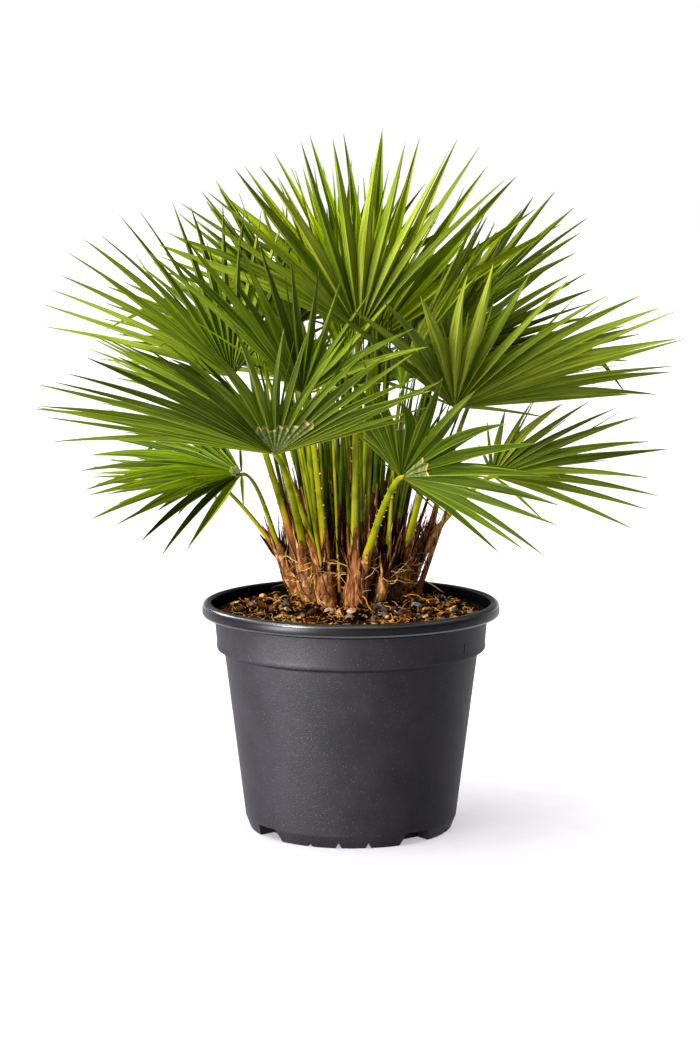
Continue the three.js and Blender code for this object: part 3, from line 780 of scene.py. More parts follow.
BARKS = [mottled(name, colours, 0.003, rough, relief=0.0006, shine=shine)
         for name, (_, rough, shine, *colours) in BARK_COLOURS.items()]
BARK_SHARES = [row[0] for row in BARK_COLOURS.values()]


def small_model():
    """The points and faces of the small model just made, whose object is then removed."""
    made = bpy.context.object
    points = [v.co.copy() for v in made.data.vertices]
    faces = [tuple(f.vertices) for f in made.data.polygons]
    bpy.data.objects.remove(made)
    return points, faces


def bark_flake(seed):
    """A flat splinter of bark, one unit long, with broken edges."""
    start_fresh()
    bpy.ops.mesh.primitive_cube_add(size=1)
    bpy.ops.object.mode_set(mode="EDIT")
    bpy.ops.mesh.subdivide(number_cuts=1)
    bpy.ops.transform.resize(value=(1.0, 0.55, 0.22))
    bpy.ops.transform.vertex_random(offset=0.16, seed=seed)
    bpy.ops.object.mode_set(mode="OBJECT")
    return small_model()


def pebble():
    """A smooth stone, one unit across."""
    start_fresh()
    bpy.ops.mesh.primitive_ico_sphere_add(subdivisions=3, radius=0.5)
    bpy.ops.object.mode_set(mode="EDIT")
    bpy.ops.transform.resize(value=(1.0, 0.82, 0.66))
    bpy.ops.object.mode_set(mode="OBJECT")
    for vertex in bpy.context.object.data.vertices:
        vertex.co *= 1 + 0.12 * noise.noise(vertex.co * 2.1)
    return small_model()


def lay(chance, radius):
    """A random place on the mix, clear of the pot's wall and of the leaf bases."""
    while True:
        place = Vector((chance.uniform(-radius, radius), chance.uniform(-radius, radius)))
        free = all((Vector(stem["foot"]) * MM - place).length >= stem["radius"] * MM
                   for stem in STEMS.values())
        if place.length < radius and free:
            return place


FLAKES = [bark_flake(seed) for seed in range(5)]
chance = random.Random(11)
litter = Batch()
for number in range(FLAKE_COUNT):
    big = number < FLAKE_COUNT * BIG_SHARE
    size = size_in(chance, *(BIG if big else SMALL))
    x, y = lay(chance, SOIL_RADIUS - FREE_OF_WALL - size / 2)
    place = Matrix.Translation((x, y, mix_height(x, y) + size_in(chance, *OVER_MIX)))
    tilt = Matrix.Rotation(chance.gauss(0, TILT), 4, "X") @ Matrix.Rotation(chance.gauss(0, TILT), 4, "Y")
    turn = Matrix.Rotation(any_turn(chance), 4, "Z")
    thick = chance.uniform(*FLAKE_THICK)
    shape = Matrix.Diagonal((size, size * chance.uniform(*FLAKE_WIDE), size * thick, 1))
    look = pick(chance, *BARK_SHARES)
    litter.copies(*chance.choice(FLAKES), place @ turn @ tilt @ shape, look)
litter.finish("bark_chips", 25, BARKS, "soil")

# %% Stones
STONES = [
    # x, y, across in mm, and which grey
    (66, -6, 12.5, 0), (-21, -42, 11, 2), (1, -44, 11.5, 2), (-66, 10, 8.5, 1), (-91, 66, 9, 2),
    (24, -20, 10, 3), (33, -36, 11, 3), (43, -20, 9, 3), (50, -44, 9, 3), (14, -60, 6, 2),
    (36, -62, 6.5, 2), (88, 20, 8, 0), (104, -24, 8, 1), (-100, 14, 7, 0), (-48, -56, 8, 3),
    (58, 112, 8, 0), (-64, 104, 7, 2), (8, 128, 6.5, 1), (78, -46, 8, 3), (-80, -30, 7, 1),
]
STONE_GREYS = [
    mottled("stone_grey", [(62, 58, 60), (128, 120, 118)], 0.004, 0.6, relief=0.0002),
    mottled("stone_blue", [(26, 32, 44), (62, 70, 88)], 0.004, 0.5, relief=0.0002),
    mottled("stone_pale", [(108, 70, 40), (186, 150, 112)], 0.004, 0.6, relief=0.0002),
    mottled("stone_dark", [(20, 14, 14), (72, 58, 56)], 0.004, 0.5, relief=0.0004),
]
SUNK = 0.28                 # height of a stone's middle over the mix, against its size
STONE = pebble()
stones = Batch()
for x, y, across, grey in STONES:
    x, y, size = x * MM, y * MM, across * MM
    place = Matrix.Translation((x, y, mix_height(x, y) + size * SUNK))
    turn = Matrix.Rotation(chance.uniform(0, 6), 4, "Z")
    turn = turn @ Matrix.Rotation(chance.uniform(-0.5, 0.5), 4, "X")
    stones.copies(*STONE, place @ turn @ Matrix.Scale(size, 4), grey)
stones.finish("pebbles", 60, STONE_GREYS, "soil")

# %% [markdown]
# Fibres run through the mix and curl up here and there. Each is a short thread along a bent line.

# %% Fibres in the mix
MIX_FIBRES = 760
FIBRE_LENGTH, FIBRE_RADIUS = (7, 20), (0.28, 0.6)        # in mm
FIBRE_RISE = (-0.1, 0.35)   # how steeply a fibre sets off
FIBRE_BEND = 0.42
FIBRE_LOW, FIBRE_PLAY = 0.5 * MM, 4 * MM        # least height over the mix, and play above that
FIBRES = [
    mottled("fibre_orange", [(120, 72, 12), (188, 130, 40)], 0.004, 0.8),
    mottled("fibre_brown", [(46, 26, 10), (98, 60, 28)], 0.004, 0.85),
    mottled("fibre_pale", [(150, 108, 60), (206, 164, 108)], 0.004, 0.8),
]


def curl(chance, start, heading, length, bend, steps=6, weight=0.0):
    """A line of points that wanders from its start, sinking by its weight."""
    line = [start.copy()]
    heading = heading.normalized()
    for _ in range(steps):
        push = Vector((chance.gauss(0, bend), chance.gauss(0, bend), chance.gauss(0, bend) - weight))
        heading = (heading + push).normalized()
        line.append(line[-1] + heading * (length / steps))
    return line


fibres = Batch()
for _ in range(MIX_FIBRES):
    x, y = lay(chance, SOIL_RADIUS - 14 * MM)
    heading = flat_way(any_turn(chance)) + UP * chance.uniform(*FIBRE_RISE)
    start = Vector((x, y, mix_height(x, y) + 0.6 * MM))
    line = curl(chance, start, heading, size_in(chance, *FIBRE_LENGTH), FIBRE_BEND)
    rest_on_mix(line, FIBRE_LOW, FIBRE_PLAY)
    fibres.thread(line, size_in(chance, *FIBRE_RADIUS), pick(chance, 5, 3, 2))
fibres.finish("mix_fibres", 60, FIBRES, "soil")

# %% [markdown]
# A leaf base is a short bulb that leans out of the mix, widest a third of the way up, and flattens
# to an oval top. It is turned like the pot, in its own directions, and then wrinkled point by
# point: upright creases, and a ring where each old leaf has fallen.

# %% Bulbs
BULB_SIDES = 36
BULB_RINGS = 26
BULB_FOOT = 213 * MM        # below the mix, so that no gap shows
BULB_INSET = 0.97           # the bulb against its girth, under the sheaths
SWELL_END = 0.6             # share of the height at which the swelling ends
CAP_FROM, CAP_OVER = 0.3, 0.6        # shares of the height at which and over which it flattens
CREASE = 0.55 * MM
SCARS = 4
SLIM = 0.87                 # real bases and stalks are slimmer than the solids, with dark gaps


def base_share(stem, height):
    """A height as a share of the way from a base's foot to its top."""
    low = BASE_LEVEL * MM
    return (height - low) / (stem["top"][2] * MM - low)


def girth(stem, height):
    """Half width and half depth of a base at a height."""
    share = max(0.0, min(1.0, base_share(stem, height)))
    swell = 1.0
    if share < SWELL_END:
        swell += (STEM_SWELL - 1) * sin(pi * (share / SWELL_END))
    mix = min(1.0, max(0.0, (share - CAP_FROM) / CAP_OVER))
    mix = mix * mix * (3 - 2 * mix)
    wide = between(stem["radius"] * SLIM, stem["cap"], mix) * swell * MM
    deep = between(stem["radius"] * SLIM, CAP_DEPTH, mix) * swell * MM
    return wide, deep


def axis_at(stem, height):
    """Where a base's middle line passes a height."""
    foot = Vector((*stem["foot"], BASE_LEVEL)) * MM
    top = Vector(stem["top"]) * MM
    return foot + (top - foot) * ((height - foot.z) / (top.z - foot.z))


def own_directions(stem):
    """The longer and the shorter direction of a base's oval."""
    turn = radians(stem["long"])
    return flat_way(turn), Vector((-sin(turn), cos(turn), 0))


def bulb(name, stem):
    """One leaf base with its creases and leaf scars."""
    across, through = own_directions(stem)
    top = stem["top"][2] * MM
    rings = []
    for t in steps(BULB_RINGS):
        height = between(BULB_FOOT, top - 0.6 * MM, t)
        centre = axis_at(stem, height)
        wide, deep = (half * BULB_INSET for half in girth(stem, height))
        rings.append((centre.dot(across), centre.dot(through), centre.z, wide, deep))
    piece = turned(name, rings, BULB_SIDES)
    piece.rotation_euler = (0, 0, radians(stem["long"]))
    bpy.ops.object.transform_apply(location=False, rotation=True, scale=False)
    seed = stem["top"][0] * 0.37
    for vertex in piece.data.vertices:
        high = vertex.co.z
        out = vertex.co - axis_at(stem, high)
        turn = math.atan2(out.y, out.x)
        x, y = cos(turn), sin(turn)
        crease = rough(x * 3.2 + seed, y * 3.2, high * 22)
        fine = rough(x * 9, y * 9 + seed, high * 40)
        step = (high - BULB_FOOT) / (top - BULB_FOOT) * SCARS + crease * 0.35
        scar = (step - math.floor(step)) ** 3
        if out.length > 1 * MM:
            vertex.co += out.normalized() * (crease * CREASE + fine * CREASE * 0.5 - scar * CREASE * 0.9)
    return piece


# %% [markdown]
# Papery sheaths wrap each bulb and run up to a ragged point, and each live stalk rises out of a
# sleeve of the same paper. Both are a thin closed skin over a small grid: its columns go round,
# its rows go up, and its top edge is torn by a seeded rule.

# %% Sheaths
PAPER = 0.35 * MM
SHEATH_COLUMNS = 11
SHEATH_ROWS = 8
SHEATHS_EACH = 3
SHEATH_REACH = (45, 95)     # how far a sheath wraps to each side, in degrees
SHEATH_LENGTH, PAST_TOP = (26, 46), (2, 16)     # most for its length and past the bulb's top, in mm
SHEATH_TORN = (-0.16, 0.1)
SHEATH_CURL = (0.1, 1.2)    # how much further its tip stands off, in mm
HUSK_LOOKS = {
    # roughness, relief and colours
    "husk_brown": (0.7, 0.0002, (40, 19, 8), (98, 58, 29), (150, 102, 60)),
    "husk_tan": (0.65, 0.0002, (76, 44, 20), (138, 92, 52), (196, 148, 98)),
    # the dark husk is the dark colour of old sheaths and also painted shade inside the clump
    "husk_dark": (0.8, 0.0005, (6, 2, 1), (26, 10, 4), (66, 31, 14)),
}
HUSKS = [mottled(name, colours, 0.0045, rough, relief, stretch=(1.7, 1.7, 0.28))
         for name, (rough, relief, *colours) in HUSK_LOOKS.items()]
HUSK_SMOOTH = mottled("husk_smooth", [(40, 20, 5), (110, 70, 32), (182, 130, 78)], 0.007, 0.5,
                      relief=0.0002, stretch=(1.5, 1.5, 0.6), shine=0.12)


def torn_grid(rows, columns, low, high, point, torn, fall_off):
    """Rows of points over a ragged scale: fall_off says how it falls away to its sides."""
    depth, power = fall_off
    grid = []
    for t in steps(rows):
        line = []
        for j in range(columns):
            side = 2 * j / (columns - 1) - 1
            tall = 1 - depth * abs(side) ** power + torn[j]
            line.append(point(side, t, between(low, high, t * tall)))
        grid.append(line)
    return grid


def sheath(batch, chance, stem, order, look):
    """One papery scale of a bulb, outside the ones before it."""
    across, through = own_directions(stem)
    top = stem["top"][2] * MM
    middle = any_turn(chance)
    reach = radians(chance.uniform(*SHEATH_REACH))
    low = between(222 * MM, top - 20 * MM, (order + 0.3) / SHEATHS_EACH)
    high = min(top + size_in(chance, *PAST_TOP), low + size_in(chance, *SHEATH_LENGTH))
    loose = (0.3 + 0.2 * (SHEATHS_EACH - order)) * MM
    torn = [chance.uniform(*SHEATH_TORN) for _ in range(SHEATH_COLUMNS)]

    def point(side, t, height):
        """A point of the scale, which stands off more and more as it rises."""
        wide, deep = girth(stem, height)
        share = base_share(stem, height)
        narrow = 1.0 if share < 1 else max(0.45, 1 - (share - 1) * 1.1)
        turn = middle + side * reach * (1 - 0.25 * t)
        spare = loose + t ** 3 * chance.uniform(*SHEATH_CURL) * MM
        spot = axis_at(stem, height)
        spot += across * cos(turn) * (wide * narrow + spare)
        spot += through * sin(turn) * (deep * narrow + spare)
        return spot

    grid = torn_grid(SHEATH_ROWS, SHEATH_COLUMNS, low, high, point, torn, (0.62, 1.4))
    batch.sheet(grid, -PAPER, look)


for stem_name, stem in STEMS.items():
    piece = bulb(f"bulb_{stem_name}", stem)
    # The inner bases and their sheaths take the dark husk: painted shade inside the clump.
    inner = stem_name.startswith("inner")
    piece.data.materials.append(HUSKS[2] if inner else HUSK_SMOOTH)
    wraps = Batch()
    for order in range(SHEATHS_EACH):
        sheath(wraps, chance, stem, order, 2 if inner else pick(chance, 6, 4, 1))
    paper = wraps.piece("wrap")
    for finish in HUSKS:
        paper.data.materials.append(finish)
    start_fresh(piece)
    paper.select_set(True)
    bpy.ops.object.join()
    finish_piece(piece, 50, [], "stem", f"stem_{stem_name}")

# %% [markdown]
# A leaf stalk runs from its base in a smooth bend to the blade's hub. It is a little flat, with a
# shallow channel along its upper side, small forward thorns along both edges, and an end that
# reaches in under the blade and carries it. Its colour runs from husk brown through orange and
# yellow to green, by the distance from its foot, which each point keeps as an attribute.

# %% Stalk finish
RISE = "rise"
STALK_SPAN = 200
STALK_COLOURS = [
    # distance from the foot in mm, colour
    (0, (100, 58, 25)), (12, (134, 82, 30)), (24, (148, 112, 18)),
    (42, (132, 124, 8)), (72, (108, 110, 0)), (190, (100, 108, 2)),
]
STREAK_TINTS = [(0.45, 0.55, 0.4, 1), (1, 1, 1, 1), (1.3, 1.25, 1.1, 1)]
HUB_YELLOW = 46 * MM        # the hub end takes the colour of this distance
THORN = mottled("thorn_yellow", [(150, 128, 50), (196, 168, 84)], 0.002, 0.5)

STALK_SKIN, tree, shader = start_finish("stalk_skin", 0.42, 0.08)
rise = node(tree, "Attribute")
rise.attribute_name = RISE
span = node(tree, "MapRange", {"From Max": STALK_SPAN * MM}, Value=rise.outputs["Fac"])
stops = [(distance / STALK_SPAN, paint(*colour)) for distance, colour in STALK_COLOURS]
skin = colour_ramp(tree, span.outputs["Result"], stops)
mapping = node(tree, "Mapping", {"Scale": (900, 30, 1)}, Vector=node(tree, "TexCoord").outputs["UV"])
streaks = node(tree, "TexNoise", {"Scale": 1.0}, Vector=mapping.outputs["Vector"])
tint = colour_ramp(tree, streaks.outputs["Fac"], even_stops(STREAK_TINTS))
mix = node(tree, "MixRGB", {"Fac": 1.0}, Color1=skin, Color2=tint)
mix.blend_type = "MULTIPLY"
tree.links.new(mix.outputs["Color"], shader.inputs["Base Color"])
add_relief(tree, streaks.outputs["Fac"], 0.0002)


def keep_rise(piece, batch, shift=0.0):
    """Stores each point's distance from the foot, which the stalk's colour follows."""
    rise = piece.data.attributes.new(RISE, "FLOAT", "POINT")
    rise.data.foreach_set("value", [along + shift for _, along in batch.places])


# %% [markdown]
# The stalk's line is a bend between two points with two directions. Along it go the rings of the
# skin, a thorn at uneven steps on each edge, and the sleeve round the foot.

# %% Stalks
STALK_RINGS = 26
STALK_SIDES = 12
STALK_UPRIGHT = 0.2         # how much straighter up a stalk sets off than its hub lies
STALK_RUN = (0.35, 0.12)    # how far it keeps its direction at the foot and at the blade
CHANNEL = 0.42              # depth of the channel against the half thickness
CHANNEL_WIDE = 0.5          # its width against the half width
FLARE, FLARE_REACH = 0.85, 13 * MM      # how much wider the foot is, and how soon that fades
THORN_STEP = 11 * MM
THORN_UNEVEN = (0.7, 1.5)   # the real steps against that one
THORN_SIZE = (1.2, 2.6)     # in mm
THORN_REACH = (0.22, 0.8)   # the stretch of the stalk that bears thorns
SLEEVES_EACH = 3
SLEEVE_COLUMNS = 9
SLEEVE_ROWS = 7
SLEEVE_LOW = -7 * MM
SLEEVE_SPAN = (60, 100)     # how far it wraps to each side, in degrees
SLEEVE_LENGTH, SLEEVE_LEAN = (10, 26), (0, 1.4)     # how long it is and how far it leans out, in mm
SLEEVE_TORN = (-0.2, 0.08)
SLEEVE_STEP = 5             # how much longer each inner one is, in mm


def aim_of(leaf):
    """The blade's directions: along its middle, out of its upper side, and across."""
    rise = radians(leaf["rise"])
    flat = flat_way(radians(leaf["turn"]))
    along = flat * cos(rise) + UP * sin(rise)
    normal = UP * cos(rise) - flat * sin(rise)
    normal.rotate(Matrix.Rotation(radians(leaf["roll"]), 3, along))
    return along, normal, along.cross(normal)


def bend_between(start, lean, aim, end, share):
    """A point of the bend from start to end that sets off along lean and arrives along aim."""
    reach = (end - start).length
    one = start + lean * STALK_RUN[0] * reach
    two = end - aim * STALK_RUN[1] * reach
    back = 1 - share
    ends = start * back ** 3 + one * 3 * back * back * share
    return ends + two * 3 * back * share ** 2 + end * share ** 3


def stalk_line(leaf):
    """The stalk's middle line, and the blade's directions at its end."""
    along, normal, across = aim_of(leaf)
    stem = STEMS[leaf["stem"]]
    side = radians(max(-leaf["fan"][0], leaf["fan"][1], 90))
    back = (GAP - STALK_TIP[0] * cos(side)) / sin(side)
    end = Vector(leaf["hub"]) * MM - along * back * MM - normal * BLADE_THICK / 2 * MM
    start = Vector(stem["top"]) * MM + own_directions(stem)[0] * leaf["seat"] * MM
    lean = ((end - start).normalized() + UP * STALK_UPRIGHT).normalized()
    line = [bend_between(start, lean, along, end, t) for t in steps(STALK_RINGS)]
    return line, along, normal, across


def ways_at(heading, across):
    """The directions across a stalk and through it, where it runs along a heading."""
    wide_way = (across - heading * across.dot(heading)).normalized()
    return wide_way, heading.cross(wide_way)


def stalk_rings(line, across):
    """Flattened rings with a channel along the upper side, and their distances from the foot."""
    rings, alongs, travelled = [], [], 0.0
    last = len(line) - 1
    for i, spot in enumerate(line):
        if i:
            travelled += (spot - line[i - 1]).length
        heading = (line[min(i + 1, last)] - line[max(i - 1, 0)]).normalized()
        wide_way, deep_way = ways_at(heading, across)
        flare = 1 + FLARE * math.exp(-travelled / FLARE_REACH)
        wide, deep = (between(foot, tip, i / last) * flare * SLIM * MM
                      for foot, tip in zip(STALK_FOOT, STALK_TIP))
        ring = []
        for j in range(STALK_SIDES):
            turn = FULL_TURN * (j + 0.5) / STALK_SIDES
            hollow = 1 - CHANNEL * math.exp(-(cos(turn) / CHANNEL_WIDE) ** 2) if sin(turn) < 0 else 1
            place = spot + wide_way * cos(turn) * wide
            ring.append(place + deep_way * sin(turn) * deep * hollow)
        rings.append(ring)
        alongs.append(travelled)
    return rings, alongs


def add_thorns(batch, chance, line, across):
    """Small forward thorns along both edges of the middle stretch."""
    total = sum((b - a).length for a, b in zip(line, line[1:]))
    for edge in (-1, 1):
        travelled = THORN_REACH[0] * total + chance.uniform(0, THORN_STEP)
        while travelled < THORN_REACH[1] * total:
            share = travelled / total * (len(line) - 1)
            low = int(share)
            spot = line[low].lerp(line[low + 1], share - low)
            heading = (line[low + 1] - line[low]).normalized()
            wide_way = ways_at(heading, across)[0] * edge
            up = heading.cross(wide_way) * 0.5 * MM
            wide = between(STALK_FOOT[0], STALK_TIP[0], travelled / total) * SLIM * MM
            size = size_in(chance, *THORN_SIZE)
            root = spot + wide_way * wide * 0.9
            half = heading * size * 0.5
            foot = (root - half, root + up, root + half, root - up)
            ids = [batch.point(corner, 0.0, travelled) for corner in foot]
            tip = batch.point(root + wide_way * size + heading * size * 0.7, 0.0, travelled)
            for a, b in zip(ids, ids[1:] + ids[:1]):
                batch.face((a, b, tip), 1)
            batch.face(ids[::-1], 1)
            travelled += THORN_STEP * chance.uniform(*THORN_UNEVEN)


def sleeve(batch, chance, line, across, order, look):
    """One papery scale round a stalk's foot, with a ragged point."""
    pace = (line[1] - line[0]).length
    heading = (line[1] - line[0]).normalized()
    wide_way, deep_way = ways_at(heading, across)
    middle = any_turn(chance)
    span = radians(chance.uniform(*SLEEVE_SPAN))
    high = size_in(chance, *SLEEVE_LENGTH) + (SLEEVES_EACH - order) * SLEEVE_STEP * MM
    torn = [chance.uniform(*SLEEVE_TORN) for _ in range(SLEEVE_COLUMNS)]
    lean_out = size_in(chance, *SLEEVE_LEAN)

    def point(side, t, up):
        """A point of the sleeve, at a distance up the stalk."""
        girth_here = max(0.96, 1.4 - 0.5 * (max(0.0, up) / (25 * MM)))
        loose = (0.3 + 0.3 * order) * MM + lean_out * t ** 3
        turn = middle + side * span * (1 - 0.2 * t)
        step = max(0.0, up) / pace
        low = min(int(step), len(line) - 2)
        centre = line[low].lerp(line[low + 1], step - low) + heading * min(0.0, up)
        wide = STALK_FOOT[0] * MM * girth_here + loose
        deep = STALK_FOOT[1] * MM * girth_here * 1.25 + loose
        return centre + wide_way * cos(turn) * wide + deep_way * sin(turn) * deep

    grid = torn_grid(SLEEVE_ROWS, SLEEVE_COLUMNS, SLEEVE_LOW, high, point, torn, (0.7, 1.3))
    batch.sheet(grid, PAPER, look)


# %% [markdown]
# Every stalk ends in two smaller rings that reach in under its blade. Its own shift of the colour
# makes one foot browner and the next greener.

# %% Stalks and sleeves
CARRIER = [
    # how far ahead of the hub, how far under it, in mm, and the ring's size against the last one
    (2, 1.3, 0.9), (7, 1.0, 0.35),
]
FADE = (-22, 24)            # shift of a stalk's colour, in mm
fade_chance = random.Random(5)
sleeves = Batch()
for leaf_name, leaf in LEAVES.items():
    line, along, normal, across = stalk_line(leaf)
    for order in range(SLEEVES_EACH):
        sleeve(sleeves, chance, line, across, order, pick(chance, 5, 4, 1))
    hub = Vector(leaf["hub"]) * MM
    rings, alongs = stalk_rings(line, across)
    last_ring = rings[-1]
    for ahead, under, size in CARRIER:
        centre = hub + along * ahead * MM - normal * under * MM
        rings.append([centre + (p - line[-1]) * size for p in last_ring])
    alongs[-1:] = [HUB_YELLOW] * 3
    stalk = Batch()
    stalk.tube(rings, 0, alongs)
    add_thorns(stalk, chance, line, across)
    piece = stalk.piece(f"leafstalk_{leaf_name}")
    keep_rise(piece, stalk, size_in(fade_chance, *FADE))
    finish_piece(piece, 50, [STALK_SKIN, THORN], "stalk", f"stalk_{leaf_name}")
sleeves.finish("sleeves", 50, HUSKS, "stem")

# %% [markdown]
# Leaf green is streaked lengthwise, so its pattern follows the leaf's own surface map. Five greens
# are dealt out leaflet by leaflet, each with its duller underside. Some leaves are painted lighter,
# for the light that falls on them or shines through them at the top, and the leaf in front on the
# right darker, as shade. The midrib and the margins are fine pale lines, and the needle tips are dry.

# %% Leaf colours
LEAF_COLOURS = {
    # roughness and colours
    "leaf_dark": (0.42, (12, 20, 0), (28, 40, 0), (46, 60, 0), (70, 84, 10)),
    "leaf_deep": (0.42, (18, 30, 0), (42, 58, 0), (66, 84, 2), (92, 106, 20)),
    "leaf_mid": (0.42, (28, 44, 0), (60, 78, 0), (88, 106, 4), (116, 128, 28)),
    "leaf_fresh": (0.42, (46, 62, 0), (84, 100, 0), (116, 130, 8), (142, 150, 40)),
    "leaf_bright": (0.42, (58, 74, 0), (96, 112, 2), (126, 140, 12), (152, 161, 44)),
    "under_dark": (0.55, (24, 36, 2), (46, 60, 6), (70, 82, 16)),
    "under_deep": (0.55, (30, 42, 4), (54, 68, 8), (78, 92, 20)),
    "under_mid": (0.55, (42, 56, 6), (70, 86, 12), (98, 110, 28)),
    "under_fresh": (0.55, (58, 74, 8), (92, 106, 20), (124, 134, 40)),
    "under_bright": (0.55, (78, 92, 14), (114, 126, 32), (144, 152, 58)),
    "leaf_rib": (0.42, (78, 92, 8), (128, 136, 30)),
    "leaf_edge": (0.42, (56, 72, 0), (112, 124, 18)),
    "leaf_tan": (0.7, (92, 76, 28), (134, 112, 56)),
    "leaf_brown": (0.7, (70, 46, 22), (112, 82, 46)),
}
LEAF_FINISHES = [
    mottled(name, colours, 0.09, rough, relief=0.0003, stretch=(60, 1, 1), source="UV", shine=0.035)
    for name, (rough, *colours) in LEAF_COLOURS.items()]
DARKEST, BRIGHTEST = 0, 4
UNDER_STEP = 5              # from a green to the same leaflet's underside
RIB, EDGE, TAN, BROWN = 10, 11, 12, 13
LEAF_TONES_AND_PAINTED_LIGHT = {
    # how light the leaf is painted, for the light or shade on it as well as its own green: 0 is dark
    # green and 4 is bright
    "top_front": 2.6, "top_back": 2.5, "upper_right": 2.7, "right": 2.9, "inner_right": 2.3,
    "front_right": 0.0, "low_right": 1.9, "front_left": 1.4, "low_left": 1.6, "spear": 3.2,
    "left": 2.2, "middle_left": 2.0, "inner_left": 1.9,
}
USUAL_TONE_AND_PAINTED_LIGHT = 2.4
TONE_SPREAD = 0.65

# %% [markdown]
# Every leaflet is a long blade folded along its midrib, with its margins up. Near the hub the
# leaflets share their margins and make one pleated web. Each pair parts at its own distance, and
# from there a leaflet goes on alone, tapering to its tip. All the points follow from the angle in
# the fan, the distance from the hub and the place across the leaflet, as they do for the solids.

# %% Fan rule
HUB_RADIUS = 3 * MM
PARTING = (0.27, 0.43)      # where two leaflets part, as a share of their length
WEB_ROWS = (0.0, 0.3, 0.65, 1.0)
FREE_ROWS = (0.1, 0.2, 0.32, 0.44, 0.56, 0.67, 0.77, 0.86, 0.93, 0.975)
VEINS = 6 * MM              # half width of a leaflet on its surface map
COLUMNS = (-1, -0.95, -0.5, -0.045, 0, 0.045, 0.5, 0.95, 1)
MIDDLE = 4                  # the column of the midrib
RIB_COLUMN, EDGE_COLUMN = 0.045, 0.95
THICKNESS = {1: 0.42 * MM, 0.95: 0.45 * MM, 0.5: 0.5 * MM, 0.045: 1.0 * MM, 0: 1.2 * MM}
CLOSING, BROADENING, TIP_THIN = 1.6, 6, 0.6     # how fast a free leaflet closes, widens and thins
CURVE_POWER, TILT_POWER = 1.8, 1.5  # how late its bends set in
USUAL_BROAD = (1.0, 1.45)   # width against the usual, and the power of the taper
BROAD = {"low_left": (1.1, 1.9), "right": (1.0, 1.3)}
PLEAT = radians(50)    # slope of a leaflet's two halves, steeper than the solids'
CLOSED = radians(54)   # slope of the two halves further out
FINER = {"front_left": 1.5, "left": 1.35}
AS_PLAIN = ("top_front", "top_back", "upper_right", "right", "low_right", "low_left", "front_right")
FINER.update({leaf_name: 1.0 for leaf_name in AS_PLAIN})
USUAL_FINER = 1.15          # how many leaflets for each one of the plain solid


